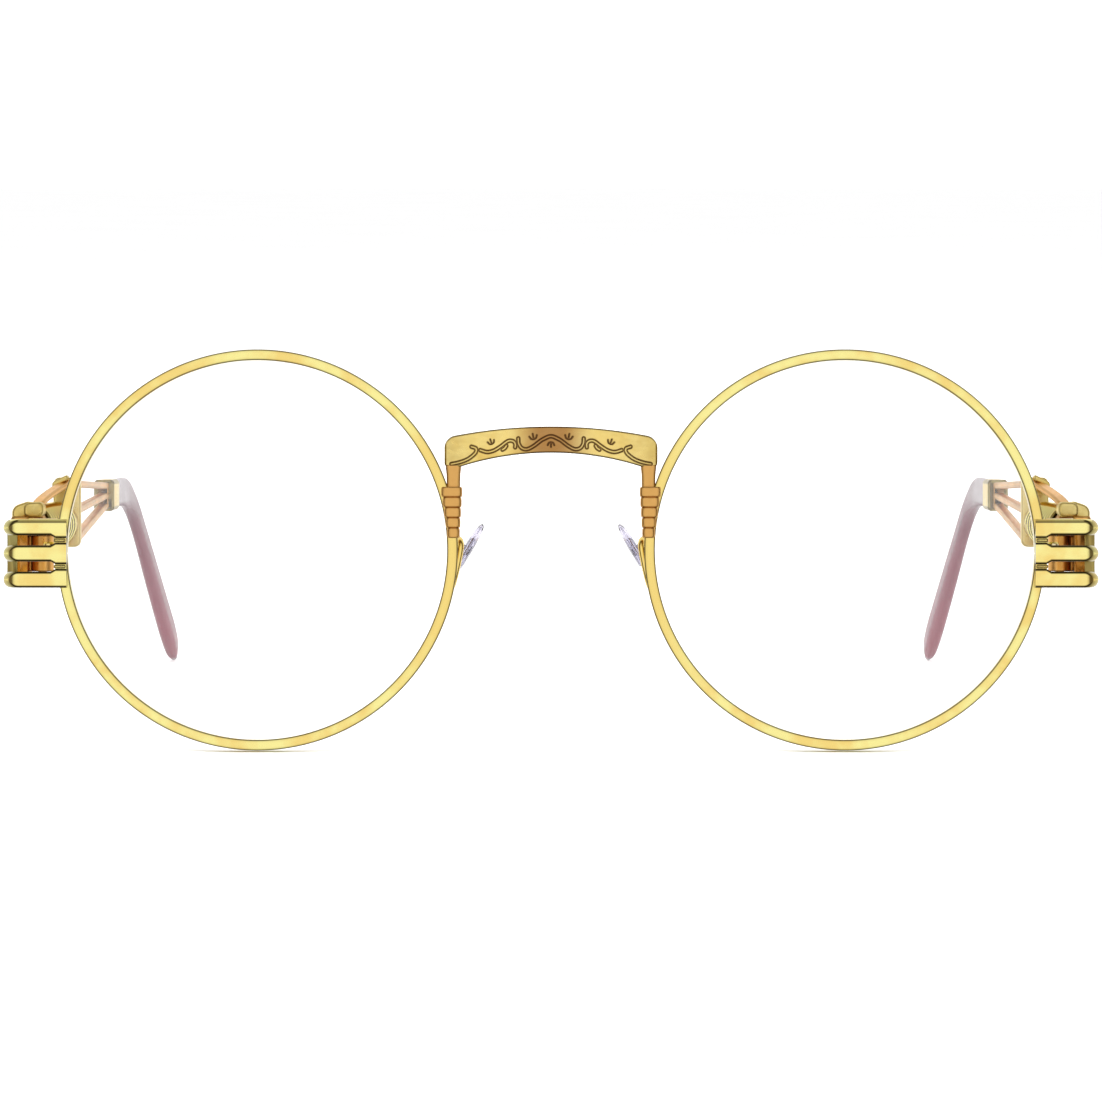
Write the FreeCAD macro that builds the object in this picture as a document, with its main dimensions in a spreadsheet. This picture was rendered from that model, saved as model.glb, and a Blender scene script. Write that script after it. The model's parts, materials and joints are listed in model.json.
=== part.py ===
import FreeCAD, Part
import math
import os

import Sketcher
from FreeCAD import Placement, Rotation, Vector

# A round metal eyeglasses frame: two rims with demo lenses, an engraved bridge plate,
# slotted end pieces, coil-spring temples that fold, and rocking nose pads.
# The design frame has the rims' mid-plane at Y = 0, the wearer behind it at +Y and +Z up.
# right_ pieces are on the wearer's right, at -X. At the end the whole frame is leaned back
# until the rims and the tips stand on one level, which is the height Z = 0.

SIDES = {"right": -1, "left": 1}

DIMENSIONS = {
    # rims and lenses
    "rim_centre": 38.15,
    "rim_outer": 26.05,
    "rim_wire": 1.4,
    "rim_depth": 2.0,
    "rim_edge": 0.2,
    "groove_width": 1.0,
    "groove_depth": 0.55,
    "rim_slit": 0.12,
    "lens_land": 24.6,
    "lens_bevel": 25.15,
    "lens_curve": 250.0,
    "lens_front_edge": 0.65,
    "lens_back_edge": 0.85,
    # bridge plate, its legs and the ribbed sleeves
    "bridge_half": 13.85,
    "bridge_top_mid": 16.0,
    "bridge_top_end": 14.6,
    "bridge_low_mid": 12.6,
    "bridge_low_end": 10.8,
    "bridge_thick": 1.2,
    "bridge_bow": 39.0,
    "bridge_front": 2.9,
    "leg_inner": 11.8,
    "leg_outer": 13.55,
    "leg_half": 0.8,
    "leg_low": 4.6,
    "sleeve_top": 8.2,
    "sleeve_low": 1.56,
    "sleeve_in_top": 11.5,
    "sleeve_in_low": 11.9,
    "sleeve_out_top": 14.35,
    "sleeve_out_low": 13.4,
    "sleeve_half": 1.55,
    "sleeve_step": 0.12,
    # end piece: three fingers that wrap round the corner
    "end_inner": 62.8,
    "end_outer": 71.2,
    "end_front": -2.3,
    "end_thick": 1.3,
    "end_corner": 2.4,
    "end_back": 9.45,
    "finger_mid": -0.45,
    "finger_tall": 2.1,
    "finger_pitch": 3.4,
    "slot_inner": 64.2,
    "slot_back": 5.2,
    # rim lock behind the middle finger
    "lock_outer": 66.4,
    "lock_back": 1.75,
    "lock_gap": 0.12,
    "lock_screw": 0.45,
    "lock_head": 0.75,
    "lock_head_tall": 0.45,
    # temple hinge
    "hinge_x": 67.0,
    "hinge_y": 9.5,
    "barrel": 1.5,
    "barrel_tall": 1.6,
    "barrel_gap": 0.08,
    "pin": 0.6,
    "pin_play": 0.04,
    "pin_head": 1.2,
    "pin_head_tall": 0.45,
    "hinge_plate": 68.65,
    # temple block, strut, coil spring and plate
    "block_front": 9.6,
    "block_back": 13.2,
    "cap_inner": 66.8,
    "cap_outer": 70.9,
    "cap_low": 4.3,
    "cap_top": 6.3,
    "coil_front_x": 69.0,
    "coil_front_y": 13.9,
    "coil_front_z": 3.0,
    "coil_back_x": 66.4,
    "coil_back_y": 24.0,
    "coil_back_z": 3.5,
    "coil_radius": 2.58,
    "coil_wire": 0.44,
    "coil_turns": 11.0,
    "seat_radius": 2.6,
    "seat_depth": 1.3,
    "rod_radius": 0.85,
    "strut_wide": 2.2,
    "strut_thick": 0.75,
    "plate_inner": 63.3,
    "plate_outer": 67.0,
    "plate_front": 24.6,
    "plate_back": 26.2,
    "plate_low": 0.4,
    "plate_top": 9.8,
    # fork, ferrule and acetate tip; lengths run back from the plate
    "temple_lean": 1.0,
    "fork_thick": 1.4,
    "fork_length": 37.0,
    "tine_top": 8.9,
    "tine_mid": 5.4,
    "tine_low": 1.7,
    "tine_half": 0.47,
    "tine_join": 7.75,
    "tine_join_pitch": 1.35,
    "window_length": 34.0,
    "tang_length": 22.0,
    "tang_half": 1.1,
    "tang_thick": 0.8,
    "ferrule_long": 8.0,
    "ferrule_wide": 2.9,
    "ferrule_tall": 4.5,
    "temple_rise": 0.03,
    # nose pads on their arms
    "pad_pivot_x": 12.35,
    "pad_pivot_y": 6.2,
    "pad_pivot_z": 0.58,
    "pad_front_angle": 31.0,
    "pad_depth_angle": 12.0,
    "pad_offset": 1.5,
    "pad_half_thick": 0.65,
    "pad_half_wide": 3.0,
    "pad_half_long": 4.3,
    "pad_screw": 0.35,
    "pad_boss": 0.75,
    "pad_boss_wide": 0.9,
    "cheek": 0.4,
    "cheek_gap": 0.08,
    "arm_wire": 0.45,
}

doc = FreeCAD.newDocument("eyeglasses_frame")
sheet = doc.addObject("Spreadsheet::Sheet", "dims")
for row, (alias, size) in enumerate(DIMENSIONS.items(), start=1):
    sheet.set(f"A{row}", str(size))
    sheet.setAlias(f"A{row}", alias)
doc.recompute()

NODES = {}


def size_of(expression):
    """The value of an expression of sheet cells, in millimetres."""
    return float(sheet.evalExpression(str(expression)))


def cell(alias):
    """One driving dimension as a number, for shapes worked out in code."""
    return float(sheet.get(alias))


def bind(target, **expressions):
    """Tie properties of an object to expressions of sheet cells."""
    for name, expression in expressions.items():
        target.setExpression(name.replace("__", "."), str(expression))


def node(name, target, place=None):
    """Name a finished sub-part and note where it goes in the design frame."""
    target.Label = name
    NODES[name] = (target, place or Placement())


# ---------------------------------------------------------------- primitives and booleans


def mirrored(side, low, high):
    """The low end of a span across X on either side."""
    return low if side > 0 else f"-({high})"


def box(name, side, x, y, z):
    """A box whose spans are pairs of expressions; x is measured outward from the middle."""
    solid = doc.addObject("Part::Box", name)
    bind(solid, Length=f"({x[1]}) - ({x[0]})", Width=f"({y[1]}) - ({y[0]})",
         Height=f"({z[1]}) - ({z[0]})", Placement__Base__x=mirrored(side, *x),
         Placement__Base__y=y[0], Placement__Base__z=z[0])
    return solid


def post(name, side, radius, x, y, z):
    """An upright cylinder at (x, y) over the span z."""
    solid = doc.addObject("Part::Cylinder", name)
    bind(solid, Radius=radius, Height=f"({z[1]}) - ({z[0]})", Placement__Base__x=f"{side} * ({x})",
         Placement__Base__y=y, Placement__Base__z=z[0])
    return solid


def shaft(name, radius, length, start, direction):
    """A cylinder from a point along a direction."""
    solid = doc.addObject("Part::Cylinder", name)
    bind(solid, Radius=radius, Height=length)
    solid.Placement = Placement(start, Rotation(Vector(0, 0, 1), direction))
    return solid


def fuse(name, pieces):
    """One solid of several that run into each other."""
    joined = doc.addObject("Part::MultiFuse", name)
    joined.Shapes = pieces
    return joined


def cut(name, base, tool):
    """The base with the tool's shape taken out of it."""
    result = doc.addObject("Part::Cut", name)
    result.Base = base
    result.Tool = tool
    return result


# ---------------------------------------------------------------- bodies and sketches


def new_body(name):
    return doc.addObject("PartDesign::Body", name + "_body")


def arc_between(start, end, radius, turn):
    """The short arc between two points; turn +1 runs anticlockwise, -1 clockwise."""
    middle = (start + end) * 0.5
    chord = end - start
    rise = math.sqrt(radius ** 2 - (chord.Length / 2) ** 2)
    normal = Vector(-chord.y, chord.x, 0).normalize()
    centre = middle + normal * (rise * turn)
    circle = Part.Circle(centre, Vector(0, 0, 1), radius)
    first, last = (start, end) if turn > 0 else (end, start)
    angles = [math.atan2(p.y - centre.y, p.x - centre.x) for p in (first, last)]
    return Part.ArcOfCircle(circle, *angles)


def outline(body, role, name, points, arcs=None, offset="0"):
    """A closed sketch through points given as pairs of expressions.

    arcs maps the number of a segment to its radius expression and its turn."""
    arcs = arcs or {}
    sketch = body.newObject("Sketcher::SketchObject", name)
    plane = next(item for item in body.Origin.OriginFeatures if item.Role == role)
    sketch.AttachmentSupport = [(plane, "")]
    sketch.MapMode = "FlatFace"
    sketch.setExpression(".AttachmentOffset.Base.z", offset)
    corners = [Vector(size_of(x), size_of(y), 0) for x, y in points]
    count = len(points)
    ends = []
    for index in range(count):
        start, end = corners[index], corners[(index + 1) % count]
        if index in arcs:
            radius, turn = arcs[index]
            sketch.addGeometry(arc_between(start, end, size_of(radius), turn))
            ends.append((1, 2) if turn > 0 else (2, 1))
        else:
            sketch.addGeometry(Part.LineSegment(start, end))
            ends.append((1, 2))
    for index in range(count):
        after = (index + 1) % count
        sketch.addConstraint(Sketcher.Constraint("Coincident", index, ends[index][1],
                                                 after, ends[after][0]))
    for index, point in enumerate(points):
        for kind, axis, text in (("DistanceX", -2, point[0]), ("DistanceY", -1, point[1])):
            corner = (index, ends[index][0])
            if text == "0":
                sketch.addConstraint(Sketcher.Constraint("PointOnObject", *corner, axis))
                continue
            number = sketch.addConstraint(
                Sketcher.Constraint(kind, -1, 1, *corner, size_of(text)))
            sketch.setExpression(f"Constraints[{number}]", text)
    for index, (radius, _) in arcs.items():
        number = sketch.addConstraint(Sketcher.Constraint("Radius", index, size_of(radius)))
        sketch.setExpression(f"Constraints[{number}]", radius)
    return sketch


def pad(body, sketch, length):
    """Extrude a sketch along its normal."""
    feature = body.newObject("PartDesign::Pad", sketch.Name + "_pad")
    feature.Profile = sketch
    bind(feature, Length=length)
    doc.recompute()
    return feature


def pocket(body, sketch, length):
    """Cut a sketch into the body, against its normal."""
    before = body.Shape.Volume
    feature = body.newObject("PartDesign::Pocket", sketch.Name + "_pocket")
    feature.Profile = sketch
    bind(feature, Length=length)
    doc.recompute()
    if not body.Shape.Volume < before:
        raise RuntimeError(f"{feature.Name} cuts nothing")
    return feature


def revolve(body, sketch):
    """Turn a sketch once round its own upright axis."""
    feature = body.newObject("PartDesign::Revolution", sketch.Name + "_turn")
    feature.Profile = sketch
    feature.ReferenceAxis = (sketch, ["V_Axis"])
    feature.Angle = 360
    doc.recompute()
    return feature


# ---------------------------------------------------------------- rims, lenses, locks

FINGER_TOP = "(dims.finger_mid + dims.finger_tall / 2)"
FINGER_LOW = "(dims.finger_mid - dims.finger_tall / 2)"
RIM_INNER = "(dims.rim_outer - dims.rim_wire)"
RIM_SIDE = "(dims.rim_centre + dims.rim_outer)"


def rim_place(side):
    return Placement(Vector(side * cell("rim_centre"), 0, 0), Rotation())


def make_rim(name, side):
    """A grooved ring of wire, slit at the rim lock."""
    body = new_body(name)
    half, edge = "dims.rim_depth / 2", "dims.rim_edge"
    outer, groove = "dims.rim_outer", "dims.groove_width / 2"
    section = outline(body, "XY_Plane", name + "_section", [
        (f"{outer} - {edge}", f"-{half}"), (outer, f"{edge} - {half}"),
        (outer, f"{half} - {edge}"), (f"{outer} - {edge}", half),
        (f"{RIM_INNER} + {edge}", half), (RIM_INNER, f"{half} - {edge}"),
        (RIM_INNER, groove), (f"{RIM_INNER} + dims.groove_depth", "0"),
        (RIM_INNER, f"-{groove}"), (RIM_INNER, f"{edge} - {half}"),
        (f"{RIM_INNER} + {edge}", f"-{half}")])
    revolve(body, section)
    low = "dims.finger_mid - dims.rim_slit / 2"
    high = "dims.finger_mid + dims.rim_slit / 2"
    near, far = f"{side} * ({RIM_INNER} - 0.5)", f"{side} * ({outer} + 0.5)"
    slit = outline(body, "XZ_Plane", name + "_slit",
                   [(near, low), (far, low), (far, high), (near, high)], offset="dims.rim_depth")
    pocket(body, slit, "2 * dims.rim_depth")
    node(name, body, rim_place(side))


def make_lens(name, side):
    """A curved demo lens whose bevel sits in the rim's groove."""
    body = new_body(name)
    slope = "(dims.groove_width / 2 / dims.groove_depth)"
    land = f"((({RIM_INNER} + dims.groove_depth) - dims.lens_land) * {slope})"
    tip = f"((({RIM_INNER} + dims.groove_depth) - dims.lens_bevel) * {slope})"
    sag = "(dims.lens_curve - sqrt(dims.lens_curve ^ 2 - dims.lens_land ^ 2))"
    section = outline(body, "XY_Plane", name + "_section", [
        ("0", f"-dims.lens_front_edge - {sag}"), ("dims.lens_land", "-dims.lens_front_edge"),
        ("dims.lens_land", f"-{land}"), ("dims.lens_bevel", f"-{tip}"),
        ("dims.lens_bevel", tip), ("dims.lens_land", land),
        ("dims.lens_land", "dims.lens_back_edge"), ("0", f"dims.lens_back_edge - {sag}")],
        arcs={0: ("dims.lens_curve", 1), 6: ("dims.lens_curve", -1)})
    revolve(body, section)
    node(name, body, rim_place(side))


def make_rim_lock(label, side):
    """Two small blocks brazed to the rim's ends, drawn together by one screw."""
    across = (f"{RIM_SIDE} - 0.06", "dims.lock_outer")
    deep = (f"dims.end_front + dims.end_thick", "dims.lock_back")
    axis = (f"({RIM_SIDE} + dims.lock_outer) / 2", "(dims.lock_back - 0.9) / 2")
    spans = {"upper": (f"dims.finger_mid + dims.lock_gap / 2", FINGER_TOP),
             "lower": (FINGER_LOW, f"dims.finger_mid - dims.lock_gap / 2")}
    for half, tall in spans.items():
        name = f"{label}_rim_lock_{half}"
        block = box(name + "_block", side, across, deep, tall)
        bore = post(name + "_bore", side, "dims.lock_screw", *axis, tall)
        node(name, cut(name, block, bore))
    name = f"{label}_rim_screw"
    shank = post(name + "_shank", side, "dims.lock_screw", *axis, (FINGER_LOW, FINGER_TOP))
    top = f"{FINGER_TOP} + dims.lock_head_tall"
    head = post(name + "_head", side, "dims.lock_head", *axis, (FINGER_TOP, top))
    slot = box(name + "_slot", side, (f"{axis[0]} - 0.12", f"{axis[0]} + 0.12"),
               (f"{axis[1]} - 1", f"{axis[1]} + 1"), (f"{top} - 0.22", f"{top} + 1"))
    node(name, cut(name, fuse(name + "_whole", [shank, head]), slot))


# ---------------------------------------------------------------- bridge


def make_bridge_plate():
    """A shallow arch of plate, bowed forward in the middle."""
    name = "bridge_plate"
    body = new_body(name)
    half, inner = "dims.bridge_half", "dims.leg_inner"
    rise_top = "(dims.bridge_top_mid - dims.bridge_top_end)"
    rise_low = "(dims.bridge_low_mid - dims.bridge_low_end)"
    top = f"(({half} ^ 2 + {rise_top} ^ 2) / (2 * {rise_top}))"
    low = f"(({inner} ^ 2 + {rise_low} ^ 2) / (2 * {rise_low}))"
    face = outline(body, "XZ_Plane", name + "_face", [
        (f"-{half}", "dims.bridge_top_end"), (half, "dims.bridge_top_end"),
        (half, "dims.bridge_low_end"), (inner, "dims.bridge_low_end"),
        (f"-{inner}", "dims.bridge_low_end"), (f"-{half}", "dims.bridge_low_end")],
        arcs={0: (top, -1), 3: (low, 1)}, offset="-3")
    pad(body, face, "3 + dims.bridge_front")
    wide = "(dims.bridge_half + 1)"
    bow = "dims.bridge_bow"
    drop = f"({bow} - sqrt({bow} ^ 2 - {wide} ^ 2))"
    front = "(-dims.bridge_front)"
    back = "(dims.bridge_thick - dims.bridge_front)"
    ahead = outline(body, "XY_Plane", name + "_ahead", [
        (f"-{wide}", f"{front} + {drop}"), (wide, f"{front} + {drop}"),
        (wide, f"{front} - 1"), (f"-{wide}", f"{front} - 1")],
        arcs={0: (bow, 1)}, offset="dims.bridge_top_mid + 1")
    pocket(body, ahead, "8")
    behind = outline(body, "XY_Plane", name + "_behind", [
        (f"-{wide}", f"{back} + {drop}"), (wide, f"{back} + {drop}"),
        (wide, "4"), (f"-{wide}", "4")],
        arcs={0: (bow, 1)}, offset="dims.bridge_top_mid + 1")
    pocket(body, behind, "8")
    node(name, body)


def rim_ring(name, side):
    """The room that a rim's wire takes, as a plain ring."""
    rings = []
    for part, radius in (("outside", "dims.rim_outer"), ("inside", RIM_INNER)):
        disc = doc.addObject("Part::Cylinder", f"{name}_{part}")
        bind(disc, Radius=radius, Height="dims.rim_depth")
        disc.Placement = Placement(Vector(side * cell("rim_centre"), cell("rim_depth") / 2, 0),
                                   Rotation(Vector(1, 0, 0), 90))
        rings.append(disc)
    return cut(name, *rings)


def leg_bar(name, side):
    return box(name, side, ("dims.leg_inner", "dims.leg_outer"),
               ("-dims.leg_half", "dims.leg_half"), ("dims.leg_low", "dims.bridge_low_end"))


def make_bridge_leg(name, side):
    """The bar that comes down from the bridge and thins out along the rim."""
    node(name, cut(name, leg_bar(name + "_bar", side), rim_ring(name + "_ring", side)))


def make_sleeve(name, side, rings=5):
    """Five rings, each a little smaller than the last, that bind the leg to the rim."""
    body = new_body(name)
    inner, outer = [], []
    for ring in range(rings):
        part = f"{(ring + 0.5) / rings}"
        near = f"(dims.sleeve_in_top + (dims.sleeve_in_low - dims.sleeve_in_top) * {part})"
        far = f"(dims.sleeve_out_top + (dims.sleeve_out_low - dims.sleeve_out_top) * {part})"
        top = f"(dims.sleeve_top + (dims.sleeve_low - dims.sleeve_top) * {ring / rings})"
        low = f"(dims.sleeve_top + (dims.sleeve_low - dims.sleeve_top) * {(ring + 1) / rings})"
        neck = f"({top} - {low}) * 0.22"
        step = "dims.sleeve_step"
        inner += [(f"{near} + {step}", top), (near, f"{top} - {neck}"),
                  (near, f"{low} + {neck}"), (f"{near} + {step}", low)]
        outer += [(f"{far} - {step}", top), (far, f"{top} - {neck}"),
                  (far, f"{low} + {neck}"), (f"{far} - {step}", low)]
    points = [(f"{side} * ({x})", z) for x, z in inner + outer[::-1]]
    sketch = outline(body, "XZ_Plane", name + "_rings", points, offset="-dims.sleeve_half")
    pad(body, sketch, "2 * dims.sleeve_half")
    core = fuse(name + "_core", [rim_ring(name + "_ring", side), leg_bar(name + "_bar", side)])
    node(name, cut(name, body, core))


# ---------------------------------------------------------------- end pieces and hinges


def make_end_piece(name, side):
    """A strap round the corner, slotted into three fingers and closed again at the back."""
    body = new_body(name)
    back = "(dims.end_front + dims.end_thick)"
    inside = "(dims.end_outer - dims.end_thick)"
    corner, turn = "dims.end_corner", "(dims.end_corner - dims.end_thick)"
    tall = "(dims.finger_pitch * 2 + dims.finger_tall)"
    points = [("dims.end_inner", back), ("dims.end_inner", "dims.end_front"),
              (f"dims.end_outer - {corner}", "dims.end_front"),
              ("dims.end_outer", f"dims.end_front + {corner}"),
              ("dims.end_outer", "dims.end_back"), (inside, "dims.end_back"),
              (inside, f"{back} + {turn}"), (f"{inside} - {turn}", back)]
    plan = outline(body, "XY_Plane", name + "_plan", [(f"{side} * ({x})", y) for x, y in points],
                   arcs={2: (corner, side), 6: (turn, -side)},
                   offset=f"dims.finger_mid - {tall} / 2")
    pad(body, plan, tall)
    slot_tall = "(dims.finger_pitch - dims.finger_tall)"
    for number, shift in (("upper", "0.5"), ("lower", "-0.5")):
        middle = f"(dims.finger_mid + {shift} * dims.finger_pitch)"
        start = f"dims.slot_inner + {slot_tall} / 2"
        points = [("dims.end_outer + 1", f"{middle} + {slot_tall} / 2"),
                  (start, f"{middle} + {slot_tall} / 2"),
                  (start, f"{middle} - {slot_tall} / 2"),
                  ("dims.end_outer + 1", f"{middle} - {slot_tall} / 2")]
        slot = outline(body, "XZ_Plane", f"{name}_{number}_slot",
                       [(f"{side} * ({x})", z) for x, z in points],
                       arcs={1: (f"{slot_tall} / 2 + 0.0001", side)}, offset="1 - dims.end_front")
        pocket(body, slot, "dims.slot_back - dims.end_front + 1")
    node(name, body)


def barrel_span(number):
    """The height of one of the five hinge barrels, counted from the top."""
    top = f"(dims.finger_mid + dims.barrel_tall * {2.5 - number})"
    return (f"{top} - dims.barrel_tall + dims.barrel_gap / 2", f"{top} - dims.barrel_gap / 2")


def knuckles(name, side, numbers, arm_x, arm_y):
    """Barrels on the hinge axis, each with an arm that carries it."""
    pieces = []
    for number in numbers:
        span = barrel_span(number)
        pieces.append(post(f"{name}_barrel_{number}", side, "dims.barrel",
                           "dims.hinge_x", "dims.hinge_y", span))
        pieces.append(box(f"{name}_arm_{number}", side, arm_x, arm_y, span))
    return pieces


def hinge_bore(name, side):
    return post(name, side, "dims.pin + dims.pin_play", "dims.hinge_x", "dims.hinge_y",
                ("dims.finger_mid - 5", "dims.finger_mid + 5"))


def make_front_hinge(name, side):
    """Three barrels on a plate that is brazed inside the end piece."""
    inside = "dims.end_outer - dims.end_thick"
    plate = box(name + "_plate", side, ("dims.hinge_plate", inside), ("dims.end_back - 3.4",
                "dims.end_back"), (barrel_span(4)[0], barrel_span(0)[1]))
    arms = knuckles(name, side, (0, 2, 4), ("dims.hinge_x", inside),
                    ("dims.end_back - 1.4", "dims.end_back - 0.1"))
    node(name, cut(name, fuse(name + "_whole", [plate] + arms), hinge_bore(name + "_bore", side)))


def make_hinge_screw(name, side):
    """The pin of the temple hinge, with a slotted head on the top barrel."""
    low, top = barrel_span(4)[0], barrel_span(0)[1]
    crown = f"{top} + dims.pin_head_tall"
    shank = post(name + "_shank", side, "dims.pin", "dims.hinge_x", "dims.hinge_y", (low, top))
    head = post(name + "_head", side, "dims.pin_head", "dims.hinge_x", "dims.hinge_y", (top, crown))
    slot = box(name + "_slot", side, ("dims.hinge_x - 2", "dims.hinge_x + 2"),
               ("dims.hinge_y - 0.15", "dims.hinge_y + 0.15"), (f"{crown} - 0.22", f"{crown} + 1"))
    node(name, cut(name, fuse(name + "_whole", [shank, head]), slot))


# ---------------------------------------------------------------- temples


def coil_ends(side):
    """The two ends of the coil's axis, front first, and its direction."""
    front, back = (Vector(side * cell(f"coil_{end}_x"), cell(f"coil_{end}_y"),
                          cell(f"coil_{end}_z")) for end in ("front", "back"))
    return front, back, (back - front).normalize()


def make_temple_hinge(name, side):
    """The block that two barrels carry; its cap shows above the end piece."""
    front, _, along = coil_ends(side)
    inside, outside = "dims.hinge_plate", "dims.end_outer"
    deep = ("dims.block_front", "dims.block_back")
    arms = knuckles(name, side, (1, 3), ("dims.hinge_x", "dims.hinge_plate + 0.5"),
                    ("dims.block_front", "dims.hinge_y + dims.barrel"))
    block = box(name + "_block", side, (inside, outside), deep,
                (barrel_span(4)[0], "dims.cap_low + 0.2"))
    cap = box(name + "_cap", side, ("dims.cap_inner", "dims.cap_outer"), deep,
              ("dims.cap_low", "dims.cap_top"))
    seat = shaft(name + "_seat", "dims.seat_radius", "dims.seat_depth",
                 front - along * cell("seat_depth"), along)
    whole = fuse(name + "_whole", arms + [block, cap, seat])
    node(name, cut(name, whole, hinge_bore(name + "_bore", side)))


def make_coil(name, side):
    """A close-wound spring on the tilted axis between block and plate."""
    front, back, along = coil_ends(side)
    wire = cell("coil_wire")
    length = (back - front).Length - 2 * wire
    helix = doc.addObject("Part::Helix", name + "_line")
    bind(helix, Radius="dims.coil_radius", Pitch=f"{length} / dims.coil_turns", Height=f"{length}")
    section = doc.addObject("Part::Circle", name + "_section")
    bind(section, Radius="dims.coil_wire")
    section.Placement = Placement(Vector(cell("coil_radius"), 0, 0), Rotation(Vector(1, 0, 0), 90))
    sweep = doc.addObject("Part::Sweep", name)
    sweep.Sections = [section]
    sweep.Spine = (helix, ["Edge1"])
    sweep.Solid = True
    sweep.Frenet = True
    node(name, sweep, Placement(front + along * wire, Rotation(Vector(0, 0, 1), along)))


def make_rod(name, side):
    """The rod through the coil, from the block's seat to the plate's."""
    front, back, along = coil_ends(side)
    node(name, shaft(name, "dims.rod_radius", (back - front).Length, front, along))
    NODES[name] = (NODES[name][0], NODES[name][0].Placement)


def make_strut(name, side):
    """The flat bar over the coil that ties block and plate."""
    start = Vector(side * (cell("cap_inner") + 1.2), cell("block_back") - 0.6,
                   cell("cap_top") - 0.25)
    end = Vector(side * (cell("plate_outer") - 1.9), cell("plate_front") + 0.3,
                 cell("plate_top") - 0.7)
    along = end - start
    bar = doc.addObject("Part::Box", name)
    bind(bar, Width=f"{along.Length}", Length="dims.strut_wide", Height="dims.strut_thick")
    turn = Rotation(Vector(1, 0, 0), along, Vector(0, 0, 1), "YZX")
    shift = turn.multVec(Vector(-cell("strut_wide") / 2, 0, -cell("strut_thick") / 2))
    node(name, bar, Placement(start + shift, turn))


def make_plate(name, side):
    """The upright plate that the fork grows from, with a seat for the coil."""
    _, back, along = coil_ends(side)
    slab = box(name + "_slab", side, ("dims.plate_inner", "dims.plate_outer"),
               ("dims.plate_front", "dims.plate_back"), ("dims.plate_low", "dims.plate_top"))
    seat = shaft(name + "_seat", "dims.seat_radius", "dims.seat_depth + 0.4", back, along)
    node(name, fuse(name, [slab, seat]))


def temple_place(side):
    """The temple's own frame: X runs back along it, Y to the wearer's left, Z up."""
    start = Vector(side * (cell("plate_inner") + cell("fork_thick") / 2), cell("plate_back"), 0)
    return Placement(start, Rotation(Vector(0, 0, 1), 90 + side * cell("temple_lean")))


def rising(length):
    """The height of the temple's middle line at a length back from the plate."""
    return f"(dims.tine_join + dims.temple_rise * ({length} - dims.fork_length))"


def tine(start, step, length, edge):
    """The height of one edge of a tine at a length back from the plate."""
    end = f"(dims.tine_join + {step} * dims.tine_join_pitch)"
    return f"({start} + ({end} - {start}) * ({length}) / dims.fork_length + {edge} * dims.tine_half)"


def make_fork(name, side):
    """Three tines that run together into a tang for the tip."""
    body = new_body(name)
    top, middle, low = ("dims.tine_top", 1), ("dims.tine_mid", 0), ("dims.tine_low", -1)
    full = "dims.fork_length"
    shape = outline(body, "XZ_Plane", name + "_shape", [
        ("-0.2", tine(*top, "-0.2", 1)), (full, tine(*top, full, 1)),
        (full, tine(*low, full, -1)), ("-0.2", tine(*low, "-0.2", -1))],
        offset="-dims.fork_thick / 2")
    pad(body, shape, "dims.fork_thick")
    reach = "dims.window_length"
    for number, (above, below) in enumerate(((top, middle), (middle, low))):
        window = outline(body, "XZ_Plane", f"{name}_window_{number}", [
            ("0", tine(*above, "0", -1)), (reach, tine(*above, reach, -1)),
            (reach, tine(*below, reach, 1)), ("0", tine(*below, "0", 1))],
            offset="dims.fork_thick")
        pocket(body, window, "2 * dims.fork_thick")
    end = f"({full} + dims.tang_length)"
    tang = outline(body, "XZ_Plane", name + "_tang", [
        (f"{full} - 0.5", f"{rising(full)} + dims.tang_half"),
        (end, f"{rising(end)} + dims.tang_half"), (end, f"{rising(end)} - dims.tang_half"),
        (f"{full} - 0.5", f"{rising(full)} - dims.tang_half")],
        offset="-dims.tang_thick / 2")
    pad(body, tang, "dims.tang_thick")
    node(name, body, temple_place(side))


def tang_room(name):
    """The room that the fork's tang takes, as a body of its own."""
    body = new_body(name)
    full = "dims.fork_length"
    end = f"({full} + dims.tang_length)"
    shape = outline(body, "XZ_Plane", name + "_shape", [
        (f"{full} - 1", f"{rising(full + ' - 1')} + dims.tang_half"),
        (end, f"{rising(end)} + dims.tang_half"), (end, f"{rising(end)} - dims.tang_half"),
        (f"{full} - 1", f"{rising(full + ' - 1')} - dims.tang_half")],
        offset="-dims.tang_thick / 2")
    pad(body, shape, "dims.tang_thick")
    return body


def make_ferrule(name, side):
    """The collar between fork and tip."""
    body = new_body(name + "_collar")
    start = "dims.fork_length"
    end = f"({start} + dims.ferrule_long)"
    shape = outline(body, "XZ_Plane", name + "_shape", [
        (start, f"{rising(start)} + dims.ferrule_tall / 2"),
        (end, f"{rising(end)} + dims.ferrule_tall / 2"),
        (end, f"{rising(end)} - dims.ferrule_tall / 2"),
        (start, f"{rising(start)} - dims.ferrule_tall / 2")], offset="-dims.ferrule_wide / 2")
    pad(body, shape, "dims.ferrule_wide")
    node(name, cut(name, body, tang_room(name + "_tang")), temple_place(side))


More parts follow.
